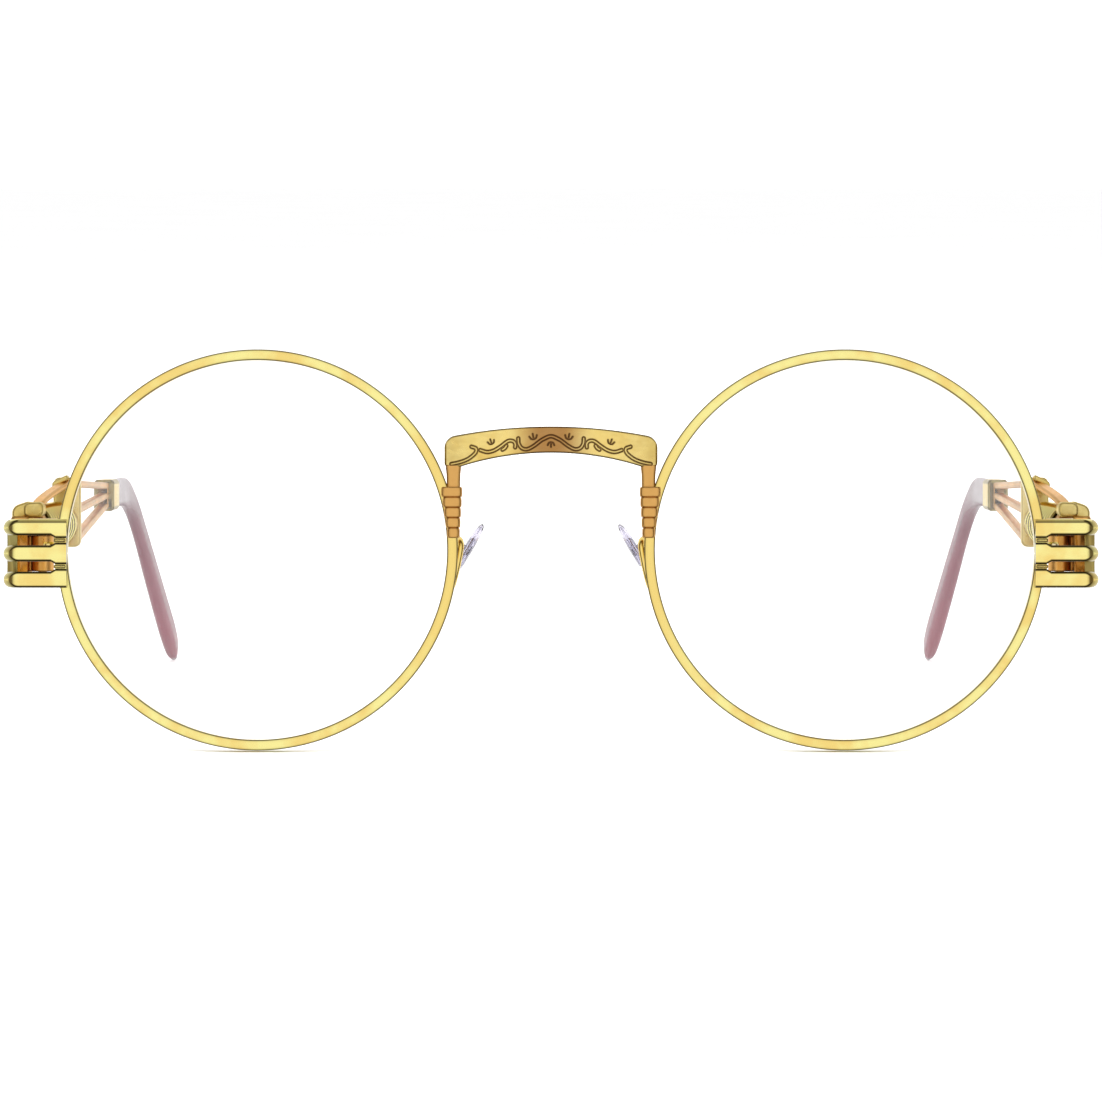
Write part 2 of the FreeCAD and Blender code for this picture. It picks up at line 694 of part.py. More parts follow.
# Stations of the acetate tip: length back from the plate, height of its middle line, how far
# it has leaned in, the slope of the line in degrees, and its height and width there.
TIP_STATIONS = [
    (45.0, 8.0, 0.0, 1.8, 4.0, 2.3),
    (54.0, 8.3, 0.0, 1.8, 4.1, 2.2),
    (62.0, 8.52, 0.0, 0.0, 4.2, 2.1),
    (66.0, 8.35, 0.15, -8.0, 4.3, 2.0),
    (70.0, 7.15, 0.45, -24.0, 4.3, 1.9),
    (73.0, 5.4, 0.85, -35.0, 4.3, 1.9),
    (77.0, 2.2, 1.45, -41.0, 4.4, 1.9),
    (83.0, -3.2, 2.4, -42.5, 4.7, 2.1),
    (89.0, -8.7, 3.4, -42.5, 5.1, 2.5),
    (93.0, -12.4, 4.1, -42.5, 5.1, 2.9),
    (95.5, -14.7, 4.5, -42.5, 4.2, 2.6),
    (96.8, -15.9, 4.7, -42.5, 2.4, 1.5),
]


def tip_section(side, station):
    """One rounded oblong across the tip, in the temple's own frame."""
    length, height, lean, slope, tall, wide = station
    radius = 0.42 * wide
    half_wide, half_tall = wide / 2, tall / 2
    corners = []
    for sign_w, sign_t in ((1, 1), (-1, 1), (-1, -1), (1, -1)):
        centre = Vector(0, sign_w * (half_wide - radius), sign_t * (half_tall - radius))
        corners.append((centre, math.atan2(sign_t, sign_w)))
    edges = []
    for index, (centre, angle) in enumerate(corners):
        arc = [centre + Vector(0, math.cos(angle + turn), math.sin(angle + turn)) * radius
               for turn in (-math.pi / 4, 0, math.pi / 4)]
        after, next_angle = corners[(index + 1) % 4]
        turn = next_angle - math.pi / 4
        following = after + Vector(0, math.cos(turn), math.sin(turn)) * radius
        edges += [Part.Arc(*arc).toShape(), Part.LineSegment(arc[2], following).toShape()]
    wire = Part.Wire(edges)
    wire.Placement = Placement(Vector(length, side * lean, height),
                               Rotation(Vector(0, 1, 0), -slope))
    return wire


def make_tip(name, side):
    """The acetate tip: straight over the tang, then down behind the ear and inward."""
    whole = doc.addObject("Part::Feature", name + "_whole")
    whole.Shape = Part.makeLoft([tip_section(side, station) for station in TIP_STATIONS], True, True)
    node(name, cut(name, whole, tang_room(name + "_tang")), temple_place(side))


# ---------------------------------------------------------------- nose pads


def pad_place(side):
    """The pad's own frame at its pivot: X outward on the left, Z up its long axis."""
    pivot = Vector(side * cell("pad_pivot_x"), cell("pad_pivot_y"), cell("pad_pivot_z"))
    lean = Rotation(Vector(0, 1, 0), -side * cell("pad_front_angle"))
    return Placement(pivot, lean * Rotation(Vector(1, 0, 0), -cell("pad_depth_angle")))


def pivot_bar(name, side, radius, half):
    """A cylinder on the pad's pivot line."""
    bar = doc.addObject("Part::Cylinder", name)
    bind(bar, Radius=radius, Height=f"2 * ({half})")
    bar.Placement = Placement(Vector(0, size_of(half), 0), Rotation(Vector(1, 0, 0), 90))
    return bar


def mount_solid(name, side, bored=True):
    """The metal insert: a tab inside the pad and a boss on the pivot."""
    tab = box(name + "_tab", side, ("-dims.pad_offset - 0.25", "-dims.pad_offset + 0.25"),
              ("-1.1", "1.1"), ("-1.6", "1.6"))
    neck = box(name + "_neck", side, ("-dims.pad_offset", "0"),
               ("-dims.pad_boss_wide / 2", "dims.pad_boss_wide / 2"), ("-0.6", "0.6"))
    boss = pivot_bar(name + "_boss", side, "dims.pad_boss", "dims.pad_boss_wide / 2")
    whole = fuse(name + "_whole", [tab, neck, boss])
    if not bored:
        return whole
    bore = pivot_bar(name + "_bore", side, "dims.pad_screw + dims.pin_play", "2")
    return cut(name, whole, bore)


def make_pad(label, side):
    """The clear pad, its metal insert and the screw that it rocks on."""
    name = f"{label}_nose_pad"
    cushion = doc.addObject("Part::Ellipsoid", name + "_cushion")
    bind(cushion, Radius1="dims.pad_half_long", Radius2="dims.pad_half_thick",
         Radius3="dims.pad_half_wide", Placement__Base__x=f"{-side} * dims.pad_offset")
    cushion.Placement.Rotation = Rotation(Vector(0, 0, 1), 90 + 90 * side)
    place = pad_place(side)
    node(name, cut(name, cushion, mount_solid(name + "_socket", side, bored=False)), place)
    node(f"{label}_pad_mount", mount_solid(f"{label}_pad_mount", side), place)
    half = "(dims.pad_boss_wide / 2 + dims.cheek_gap + dims.cheek)"
    shank = pivot_bar(f"{label}_pad_screw_shank", side, "dims.pad_screw", half)
    head = pivot_bar(f"{label}_pad_screw_head", side, "dims.pad_screw * 1.7", "0.14")
    head.Placement.Base = head.Placement.Base + Vector(0, size_of(half) + 0.14, 0)
    node(f"{label}_pad_screw", fuse(f"{label}_pad_screw", [shank, head]), place)


def rounded_wire(points, radii):
    """Straight runs joined by tangent arcs at the inner points."""
    edges, last = [], points[0]
    for before, corner, after, radius in zip(points, points[1:], points[2:], radii):
        arriving, leaving = (corner - before).normalize(), (after - corner).normalize()
        turn = arriving.getAngle(leaving)
        setback = radius * math.tan(turn / 2)
        start, end = corner - arriving * setback, corner + leaving * setback
        inward = (leaving - arriving).normalize()
        centre = corner + inward * (radius / math.cos(turn / 2))
        middle = centre - inward * radius
        edges += [Part.LineSegment(last, start).toShape(), Part.Arc(start, middle, end).toShape()]
        last = end
    edges.append(Part.LineSegment(last, points[-1]).toShape())
    return Part.Wire(edges)


def make_pad_arm(name, side):
    """A wire from the rim up and back to a forked cup for the pad."""
    place = pad_place(side)
    inner = cell("pad_boss_wide") / 2 + cell("cheek_gap")
    outer = inner + cell("cheek")
    cheeks = []
    for low, high in ((-outer, -inner), (inner, outer)):
        cheek = Part.makeBox(1.4, high - low, 1.7, Vector(-0.55 if side > 0 else -0.85, low, -0.85))
        cheeks.append(cheek)
    web_x = 0.8 if side > 0 else -1.2
    web = Part.makeBox(0.4, 2 * outer, 1.7, Vector(web_x, -outer, -0.85))
    bore = Part.makeCylinder(cell("pad_screw"), 4, Vector(0, -2, 0), Vector(0, 1, 0))
    cup = web.fuse(cheeks).cut(bore)
    cup.Placement = place
    target = place.multVec(Vector(side * 1.0, -outer + 0.2, 0))
    route = [Vector(side * 12.95, 1.15, -4.9), Vector(side * 12.35, 1.25, -2.9),
             Vector(side * 11.75, 1.35, 0.9), Vector(side * 12.2, 3.0, 1.5), target]
    path = rounded_wire(route, [2.5, 0.7, 0.9])
    start = path.Edges[0].Vertexes[0].Point
    section = Part.Wire(Part.makeCircle(cell("arm_wire"), start, route[1] - route[0]))
    wire = path.makePipeShell([section], True, False)
    arm = doc.addObject("Part::Feature", name)
    arm.Shape = wire.fuse(cup)
    node(name, arm)


# ---------------------------------------------------------------- the whole frame


def make_side(label, side):
    """Every piece of one half of the frame."""
    make_rim(f"{label}_rim", side)
    make_lens(f"{label}_lens", side)
    make_rim_lock(label, side)
    make_bridge_leg(f"{label}_bridge_leg", side)
    make_sleeve(f"{label}_ribbed_sleeve", side)
    make_end_piece(f"{label}_end_piece", side)
    make_front_hinge(f"{label}_front_hinge", side)
    make_hinge_screw(f"{label}_hinge_screw", side)
    make_pad_arm(f"{label}_pad_arm", side)
    make_pad(label, side)
    make_temple_hinge(f"{label}_temple_hinge", side)
    make_coil(f"{label}_coil_spring", side)
    make_rod(f"{label}_spring_rod", side)
    make_strut(f"{label}_spring_strut", side)
    make_plate(f"{label}_spring_plate", side)
    make_fork(f"{label}_temple_fork", side)
    make_ferrule(f"{label}_ferrule", side)
    make_tip(f"{label}_temple_tip", side)


def lowest(names, turn):
    """The lowest point of some nodes, placed in the design frame and then turned."""
    low = math.inf
    for name in names:
        target, place = NODES[name]
        shape = target.Shape.copy()
        shape.Placement = turn * place
        low = min(low, shape.optimalBoundingBox(False).ZMin)
    return low


def find_stance():
    """The lean, in degrees about X, at which the rims and the tips stand on one level."""
    rims, tips = ["left_rim", "right_rim"], ["left_temple_tip", "right_temple_tip"]
    low, high = -12.0, 0.0
    for _ in range(30):
        angle = (low + high) / 2
        turn = Placement(Vector(), Rotation(Vector(1, 0, 0), angle))
        if lowest(tips, turn) < lowest(rims, turn):
            low = angle
        else:
            high = angle
    return angle


def place_nodes():
    """Lean every node into the stance and put the origin under the middle of the frame."""
    angle = find_stance()
    turn = Placement(Vector(), Rotation(Vector(1, 0, 0), angle))
    for target, place in NODES.values():
        target.Placement = turn * place
        target.recompute()
    doc.recompute()
    whole = FreeCAD.BoundBox()
    for target, _ in NODES.values():
        whole.add(target.Shape.optimalBoundingBox(False))
    shift = Placement(Vector(-(whole.XMin + whole.XMax) / 2, -(whole.YMin + whole.YMax) / 2,
                             -whole.ZMin), Rotation())
    stance = shift * turn
    for target, place in NODES.values():
        target.Placement = stance * place
    doc.recompute()
    return stance


def check_document():
    """Stop if any object failed or any sub-part is not one good shape."""
    for item in doc.Objects:
        if "Invalid" in item.State or "Error" in item.State:
            raise RuntimeError(f"{item.Label} failed: {item.State}")
    for name, (target, _) in NODES.items():
        shape = target.Shape
        if shape.isNull() or not shape.isValid() or not shape.Solids:
            raise RuntimeError(f"{name} has no valid solid")


for side_label, side_sign in SIDES.items():
    make_side(side_label, side_sign)
make_bridge_plate()
doc.recompute()
STANCE = place_nodes()
check_document()
os.makedirs("parts", exist_ok=True)
for node_name, (part_object, _) in NODES.items():
    part_object.Shape.exportStep(os.path.join("parts", node_name + ".step"))
print(len(NODES), "nodes written, stance", STANCE)
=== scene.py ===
import json
import math

import bmesh
import bpy
import numpy as np
from bpy.props import FloatProperty, FloatVectorProperty, IntProperty, PointerProperty
from bpy.types import Operator, Panel, PropertyGroup
from mathutils import Matrix, Vector


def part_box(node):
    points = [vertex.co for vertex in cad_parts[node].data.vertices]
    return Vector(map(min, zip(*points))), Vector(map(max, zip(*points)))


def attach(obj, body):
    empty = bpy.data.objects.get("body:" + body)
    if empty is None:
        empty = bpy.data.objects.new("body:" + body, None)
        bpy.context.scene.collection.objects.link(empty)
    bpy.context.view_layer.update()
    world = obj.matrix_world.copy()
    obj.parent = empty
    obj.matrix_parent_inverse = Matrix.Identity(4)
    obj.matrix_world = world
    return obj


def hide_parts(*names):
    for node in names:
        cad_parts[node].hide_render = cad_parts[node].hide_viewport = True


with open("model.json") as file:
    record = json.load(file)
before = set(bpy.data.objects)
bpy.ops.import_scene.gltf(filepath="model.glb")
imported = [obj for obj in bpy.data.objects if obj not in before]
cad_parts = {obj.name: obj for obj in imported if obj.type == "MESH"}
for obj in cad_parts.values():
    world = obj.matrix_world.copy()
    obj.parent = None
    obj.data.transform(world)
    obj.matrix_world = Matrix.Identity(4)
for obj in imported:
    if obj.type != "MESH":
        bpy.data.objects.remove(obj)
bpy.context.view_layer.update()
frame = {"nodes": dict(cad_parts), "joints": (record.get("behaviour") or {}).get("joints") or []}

bl_info = {
    "name": "Round Eyeglasses Frame",
    "version": (1, 0, 0),
    "blender": (4, 5, 0),
    "location": "View3D > Sidebar > Eyeglasses",
    "description": "Builds a round gold eyeglasses frame with spring temples, piece by piece",
    "category": "Object",
}

MM = 0.001
SIDES = {"right": -1, "left": 1}


def upright_frame():
    """The frame before it is leaned back: X across, Y back, Z up, millimetres, rims at Y = 0."""
    fold = next(joint for joint in frame["joints"] if joint["name"] == "left_temple_fold")
    up = Vector(fold["axis"]).normalized()
    across = Vector((1, 0, 0))
    boxes = [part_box("left_rim"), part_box("right_rim")]
    middle = sum((low + high for low, high in boxes), Vector()) / 4
    turn = Matrix((across, up.cross(across), up)).transposed().to_4x4()
    return Matrix.Translation(middle) @ turn @ Matrix.Scale(MM, 4)


UPRIGHT = upright_frame()


def length(name, description, millimetres):
    return FloatProperty(name=name, description=description, default=millimetres * MM,
                         unit="LENGTH", precision=5)


def spot(name, description, millimetres):
    return FloatVectorProperty(name=name, description=description, size=3, subtype="TRANSLATION",
                               default=[value * MM for value in millimetres], unit="LENGTH",
                               precision=5)


def colour(name, description, value):
    return FloatVectorProperty(name=name, description=description, default=value, size=3,
                               min=0, max=1, subtype="COLOR")


# ---------------------------------------------------------------- sizes and colours


class EyeglassesColours(PropertyGroup):
    bright_gold: colour("Bright gold", "Polished plate on rims and end pieces", (0.97, 0.87, 0.33))
    soft_gold: colour("Soft gold", "Rounded caps over the hinges", (0.96, 0.77, 0.3))
    deep_gold: colour("Deep gold", "The warmer tone the polished plate drifts to", (0.93, 0.7, 0.22))
    satin_gold: colour("Satin gold", "Brushed plate on legs, sleeves and temples", (0.9, 0.5, 0.15))
    # Painted shade: a browner gold for hinges and locks, standing in for the shade inside the end
    # pieces' slots.
    inner_gold: colour("Inner gold", "Browned plate on hinges and locks", (0.62, 0.29, 0.07))
    # Painted shade: near-black along rounded edges and gaps, standing in for the dark surroundings the
    # edges reflect and the shade between parts.
    edge_gold: colour("Worn edge", "Darker plate along rounded edges", (0.055, 0.038, 0.01))
    # Painted reflection: a browner middle of the bridge, standing in for the darker reflection there.
    bridge_middle_shade: colour("Aged middle", "Browner plate in the middle of the bridge", (0.48, 0.26, 0.09))
    # Darker colour along the engraved lines.
    groove_brown: colour("Engraving", "Dark fill of the engraved lines", (0.13, 0.055, 0.02))
    screw_steel: colour("Screw", "Plated screw steel", (0.8, 0.7, 0.45))
    insert_steel: colour("Pad insert", "Bare steel inside the nose pads", (0.66, 0.66, 0.72))
    tip_pale: colour("Pale acetate", "Temple tip next to the ferrule", (0.2, 0.145, 0.155))
    tip_rose: colour("Rose acetate", "Temple tip along its bend", (0.12, 0.024, 0.038))
    tip_end: colour("Acetate end", "Temple tip at its end", (0.19, 0.03, 0.048))
    silicone: colour("Silicone", "Clear nose pad", (0.66, 0.63, 0.76))
    lens: colour("Demo lens", "Clear lens", (0.97, 0.98, 1.0))


class EyeglassesFront(PropertyGroup):
    rim_centre: length("Rim centre", "Rim centre to the middle of the frame", 38.15)
    rim_outer: length("Rim radius", "Outer radius of a rim", 26.05)
    rim_wire: length("Rim wire", "Width of the rim wire seen from the front", 1.4)
    rim_depth: length("Rim depth", "Depth of the rim wire", 2.0)
    rim_edge: length("Rim edge", "Edge radius of the rim wire", 0.2)
    rim_slit: length("Rim slit", "Gap in the rim wire at its lock", 0.12)
    lens_curve: length("Lens curve", "Radius of the lens surfaces", 250.0)
    lens_thick: length("Lens thickness", "Thickness of the lens", 1.5)
    lens_land: length("Lens land", "Radius of the lens surfaces' edge", 24.6)
    lens_bevel: length("Lens bevel", "Radius of the bevel's crest", 25.15)
    bridge_half: length("Bridge half", "Half the width of the bridge plate", 13.85)
    bridge_top: length("Bridge top", "Height of the plate's upper edge in the middle", 16.0)
    bridge_drop: length("Bridge drop", "How far the upper edge falls to the corners", 1.4)
    arch_top: length("Arch top", "Height of the plate's lower edge in the middle", 12.6)
    arch_half: length("Arch half", "Half the span of the lower edge's arch", 11.8)
    arch_drop: length("Arch drop", "How far the lower edge falls to the ends of its arch", 1.8)
    bridge_front: length("Bridge front", "Front of the plate in the middle", -2.9)
    bridge_bow: length("Bridge bow", "Radius of the plate's forward bow", 39.0)
    bridge_thick: length("Bridge thickness", "Thickness of the bridge plate", 1.2)
    engraving: length("Engraving depth", "Depth of the engraved lines", 0.09)
    leg_across: length("Leg place", "Middle of the frame to the middle of a bridge leg", 12.675)
    sleeve_top: length("Sleeve top", "Height of the ringed sleeve's upper end", 8.2)
    sleeve_tall: length("Sleeve height", "Height of the five rings together", 6.64)
    finger_mid: length("Middle finger", "Height of the middle finger", -0.45)
    finger_tall: length("Finger height", "Height of one finger of the end piece", 2.1)
    finger_pitch: length("Finger pitch", "Distance between the fingers", 3.4)
    strap_front: length("Strap front", "Middle of the fingers' thickness in front", -1.65)
    strap_side: length("Strap side", "Middle of the fingers' thickness at the side", 70.55)
    strap_bend: length("Strap bend", "Radius of the fingers' corner", 1.75)
    hinge_pin: spot("Hinge pin", "Place of the temple hinge's pin and the top of its shank",
                    (67.0, 9.5, 3.51))
    pad_place: spot("Pad place", "Place of the pin that the pad rocks on", (12.35, 6.2, 0.58))


class EyeglassesTemple(PropertyGroup):
    coil_radius: length("Coil radius", "Axis to wire middle", 2.58)
    coil_wire: length("Coil wire", "Radius of the spring wire", 0.44)
    coil_turns: FloatProperty(name="Coil turns", description="Turns of the spring", default=11.0)
    coil_front: spot("Coil front", "Front end of the coil's axis", (69.0, 13.9, 3.0))
    coil_back: spot("Coil back", "Back end of the coil's axis", (66.4, 24.0, 3.5))
    seat_radius: length("Seat radius", "Radius of the coil's seats", 2.6)
    plate_back: spot("Plate", "Where the fork leaves the spring plate", (64.0, 26.2, 0.0))
    lean: FloatProperty(name="Lean", description="How far the temples close towards the back",
                        default=math.radians(1.0), subtype="ANGLE")
    fork_length: length("Fork length", "Length of the three tines", 37.0)
    fork_thick: length("Fork thickness", "Thickness of the tines", 1.4)
    tine_tall: length("Tine height", "Height of one tine's section", 0.94)
    tine_gap: length("Tine pitch", "Distance between the tines at the ferrule", 1.35)
    tang_height: length("Tang height", "Height where the tines run together", 7.75)
    ferrule_wide: length("Ferrule width", "Width of the collar", 2.9)
    ferrule_tall: length("Ferrule height", "Height of the collar", 4.5)
    ferrule_end: length("Ferrule end", "Plate to the back of the collar", 45.0)


class EyeglassesStudio(PropertyGroup):
    distance: length("Camera distance", "Camera to the rims", 700.0)
    width: length("Width in view", "What the camera sees across at the rims", 143.26)
    height: length("Camera height", "Camera above the rims' centres", -0.13)
    floor: colour("Floor", "Colour of the floor", (0.9, 0.9, 0.9))
    segments: IntProperty(name="Rim segments", description="Steps round each rim", default=288)


# ---------------------------------------------------------------- finishes


def blank_finish(name):
    """A new material, its nodes and links, and its shader."""
    material = bpy.data.materials.new(name)
    material.use_nodes = True
    tree = material.node_tree
    return material, tree.nodes, tree.links, tree.nodes["Principled BSDF"]


def noise(nodes, links, scale, stretch=(1, 1, 1), detail=3.0):
    """Noise on Object coordinates, in features per metre, stretched along the axes."""
    place = nodes.new("ShaderNodeTexCoord")
    turn = nodes.new("ShaderNodeMapping")
    turn.inputs["Scale"].default_value = stretch
    texture = nodes.new("ShaderNodeTexNoise")
    texture.inputs["Scale"].default_value = scale
    texture.inputs["Detail"].default_value = detail
    links.new(place.outputs["Object"], turn.inputs["Vector"])
    links.new(turn.outputs["Vector"], texture.inputs["Vector"])
    return texture.outputs["Fac"]


def ramp(nodes, links, source, stops):
    """A colour ramp over a value; stops are (position, colour)."""
    node = nodes.new("ShaderNodeValToRGB")
    elements = node.color_ramp.elements
    while len(elements) < len(stops):
        elements.new(0.5)
    for element, (position, tone) in zip(elements, stops):
        element.position = position
        element.color = (*tone, 1) if len(tone) == 3 else tone
    links.new(source, node.inputs["Fac"])
    return node.outputs["Color"]


def blend_tones(nodes, links, factor, first, second):
    """first, turning to second as factor rises; either may be a colour or a socket."""
    node = nodes.new("ShaderNodeMix")
    node.data_type = "RGBA"
    links.new(factor, node.inputs[0])
    for socket, tone in ((node.inputs[6], first), (node.inputs[7], second)):
        if hasattr(tone, "links"):
            links.new(tone, socket)
        else:
            socket.default_value = (*tone, 1)
    return node.outputs[2]


def multiplied(nodes, links, first, second):
    """The product of two colour sockets."""
    node = nodes.new("ShaderNodeMix")
    node.data_type = "RGBA"
    node.blend_type = "MULTIPLY"
    node.inputs[0].default_value = 1.0
    links.new(first, node.inputs[6])
    links.new(second, node.inputs[7])
    return node.outputs[2]


def shaded(tone, share):
    """A darker copy of a colour."""
    return tuple(value * share for value in tone)


def spread(nodes, links, source, low, high):
    """A value that runs from low to high as source runs from 0.3 to 0.7."""
    node = nodes.new("ShaderNodeMapRange")
    node.inputs["From Min"].default_value = 0.3
    node.inputs["From Max"].default_value = 0.7
    node.inputs["To Min"].default_value = low
    node.inputs["To Max"].default_value = high
    links.new(source, node.inputs["Value"])
    return node.outputs["Result"]


def surface(nodes, links, shader, height, distance, strength):
    """Fine relief on the shader from a height."""
    bump = nodes.new("ShaderNodeBump")
    bump.inputs["Distance"].default_value = distance
    bump.inputs["Strength"].default_value = strength
    links.new(height, bump.inputs["Height"])
    links.new(bump.outputs["Normal"], shader.inputs["Normal"])


def attribute(nodes, name):
    node = nodes.new("ShaderNodeAttribute")
    node.attribute_name = name
    return node.outputs["Fac"]


def distance_across(nodes, links, near, far):
    """1 within near of the frame's middle plane, falling to 0 at far, in metres."""
    place = nodes.new("ShaderNodeTexCoord")
    parts = nodes.new("ShaderNodeSeparateXYZ")
    links.new(place.outputs["Object"], parts.inputs["Vector"])
    size = nodes.new("ShaderNodeMath")
    size.operation = "ABSOLUTE"
    links.new(parts.outputs["X"], size.inputs[0])
    reach = nodes.new("ShaderNodeMapRange")
    reach.interpolation_type = "SMOOTHSTEP"
    reach.inputs["From Min"].default_value = far
    reach.inputs["From Max"].default_value = near
    links.new(size.outputs[0], reach.inputs["Value"])
    return reach.outputs["Result"]


def gold_finish(name, light, deep, roughness, stretch, relief):
    """Plated metal: two tones in soft patches, warmer by the nose, brushed, with painted shade along its
    rounded edges.
    """
    tones = bpy.context.scene.eyeglasses_colours
    material, nodes, links, shader = blank_finish(name)
    patches = ramp(nodes, links, noise(nodes, links, 210, detail=3), [(0.4, deep), (0.58, light)])
    patches = blend_tones(nodes, links, distance_across(nodes, links, 0.0125, 0.021), patches, deep)
    # Painted shade: the edge attribute darkens the rounded edges and gaps.
    painted_shade = blend_tones(nodes, links, attribute(nodes, "edge"), patches, tones.edge_gold)
    links.new(painted_shade, shader.inputs["Base Color"])
    brushing = noise(nodes, links, 2600, stretch, 5)
    links.new(spread(nodes, links, brushing, roughness * 0.8, roughness * 1.25),
              shader.inputs["Roughness"])
    surface(nodes, links, shader, brushing, 0.00002, relief)
    shader.inputs["Metallic"].default_value = 1.0
    return material


def bridge_finish():
    """Plate that is browner in the middle, a painted darker reflection, with dark engraved lines."""
    tones = bpy.context.scene.eyeglasses_colours
    material, nodes, links, shader = blank_finish("bridge_gold")
    ends = ramp(nodes, links, noise(nodes, links, 160), [(0.35, tones.deep_gold),
                                                        (0.65, tones.soft_gold)])
    # Painted reflection: the middle of the plate turns browner.
    middle = distance_across(nodes, links, 0.0012, 0.0062)
    body = blend_tones(nodes, links, middle, ends, tones.bridge_middle_shade)
    mottle = ramp(nodes, links, noise(nodes, links, 420, detail=5), [(0.3, (0.93, 0.86, 0.74)),
                                                                  (0.6, (1, 1, 1))])
    plate = multiplied(nodes, links, body, mottle)
    # Darker colour along the engraved lines.
    cut = blend_tones(nodes, links, attribute(nodes, "groove"), plate, tones.groove_brown)
    # Painted shade along the rounded edges.
    painted_shade = blend_tones(nodes, links, attribute(nodes, "edge"), cut, tones.edge_gold)
    links.new(painted_shade, shader.inputs["Base Color"])
    brushing = noise(nodes, links, 2400, (0.25, 1, 1), 5)
    links.new(spread(nodes, links, brushing, 0.24, 0.4), shader.inputs["Roughness"])
    surface(nodes, links, shader, brushing, 0.00002, 0.25)
    shader.inputs["Metallic"].default_value = 1.0
    return material


def acetate_finish():
    """Rose acetate, paler towards the ferrule, with cloudy depth and a polished coat."""
    tones = bpy.context.scene.eyeglasses_colours
    material, nodes, links, shader = blank_finish("rose_acetate")
    run = ramp(nodes, links, attribute(nodes, "run"),
               [(0.0, tones.tip_pale), (0.25, shaded(tones.tip_pale, 0.75)),
                (0.55, tones.tip_rose), (1.0, tones.tip_end)])
    cloud = ramp(nodes, links, noise(nodes, links, 240, (1, 0.4, 1), 4),
                 [(0.3, (0.84, 0.7, 0.74)), (0.7, (1, 1, 1))])
    links.new(multiplied(nodes, links, run, cloud), shader.inputs["Base Color"])
    fine = noise(nodes, links, 1800, detail=2)
    links.new(spread(nodes, links, fine, 0.14, 0.26), shader.inputs["Roughness"])
    surface(nodes, links, shader, fine, 0.00001, 0.08)
    shader.inputs["Specular IOR Level"].default_value = 0.22
    shader.inputs["Specular Tint"].default_value = (0.68, 0.38, 0.43, 1)
    shader.inputs["IOR"].default_value = 1.48
    shader.inputs["Coat Weight"].default_value = 0.1
    shader.inputs["Coat Roughness"].default_value = 0.05
    return material


def silicone_finish():
    """Clear soft pad with a slightly matt skin."""
    tones = bpy.context.scene.eyeglasses_colours
    material, nodes, links, shader = blank_finish("clear_silicone")
    haze = ramp(nodes, links, noise(nodes, links, 500), [(0.3, shaded(tones.silicone, 0.9)),
                                                         (0.7, tones.silicone)])
    links.new(haze, shader.inputs["Base Color"])
    skin = noise(nodes, links, 1500)
    links.new(spread(nodes, links, skin, 0.04, 0.12), shader.inputs["Roughness"])
    surface(nodes, links, shader, skin, 0.00001, 0.1)
    shader.inputs["Transmission Weight"].default_value = 1.0
    shader.inputs["IOR"].default_value = 1.41
    return material


def lens_finish():
    """Thin clear lens with the faintest bloom."""
    tones = bpy.context.scene.eyeglasses_colours
    material, nodes, links, shader = blank_finish("demo_lens")
    bloom = ramp(nodes, links, noise(nodes, links, 60), [(0.3, shaded(tones.lens, 0.97)),
                                                         (0.7, tones.lens)])
    links.new(bloom, shader.inputs["Base Color"])
    skin = noise(nodes, links, 900)
    links.new(spread(nodes, links, skin, 0.015, 0.04), shader.inputs["Roughness"])
    shader.inputs["IOR"].default_value = 1.5
    shader.inputs["Alpha"].default_value = 0.05
    return material


FINISHES = {}


def finish_of(name):
    """The material of that name, made the first time it is asked for."""
    if name not in FINISHES:
        tones = bpy.context.scene.eyeglasses_colours
        deep, satin, recess_shade = tones.deep_gold, tones.satin_gold, tones.inner_gold
        steel = tones.insert_steel
        # light tone, deep tone, roughness, stretch of the brushing, depth of the brushing
        plated = {
            "polished_gold": (tones.bright_gold, deep, 0.14, (1, 1, 1), 0.06),
            "satin_gold": (satin, shaded(satin, 0.82), 0.34, (1, 0.2, 1), 0.35),
            # Painted shade: browner gold for hinges and locks.
            "inner_gold": (recess_shade, shaded(recess_shade, 0.7), 0.2, (1, 1, 0.3), 0.2),
            "screw_steel": (tones.screw_steel, deep, 0.22, (1, 1, 0.2), 0.2),
            "soft_gold": (tones.soft_gold, deep, 0.32, (1, 0.3, 1), 0.2),
            "insert_steel": (steel, shaded(steel, 0.8), 0.25, (1, 1, 0.3), 0.2),
        }
        others = {"bridge_gold": bridge_finish, "rose_acetate": acetate_finish,
                  "clear_silicone": silicone_finish, "demo_lens": lens_finish}
        FINISHES[name] = gold_finish(name, *plated[name]) if name in plated else others[name]()
    return FINISHES[name]


# ---------------------------------------------------------------- mesh making


class Stock:
    """Rings, faces and painted edge shade of one piece, in millimetres of the upright frame."""

    def __init__(self):
        self.points, self.faces, self.wear, self.run = [], [], [], []

    def skin(self, rings, closed=False):
        """Closes equal rings of (point, edge shade) or (point, edge shade, run) into one shell."""
        start, count = len(self.points), len(rings[0])
        for ring in rings:
            for entry in ring:
                self.points.append(Vector(entry[0]))
                self.wear.append(entry[1])
                self.run.append(entry[2] if len(entry) > 2 else 0.0)
        for index in range(len(rings) if closed else len(rings) - 1):
            low = start + index * count
            high = start + (index + 1) % len(rings) * count
            for step in range(count):
                after = (step + 1) % count
                self.faces.append((low + step, low + after, high + after, high + step))
        if not closed:
            self.faces.append(tuple(range(start + count - 1, start - 1, -1)))
            last = start + (len(rings) - 1) * count
            self.faces.append(tuple(range(last, last + count)))

    def mesh(self, name):
        made = bpy.data.meshes.new(name)
        made.from_pydata(self.points, [], self.faces)
        for key, values in (("edge", self.wear), ("run", self.run)):
            made.attributes.new(key, "FLOAT", "POINT").data.foreach_set("value", values)
        return made


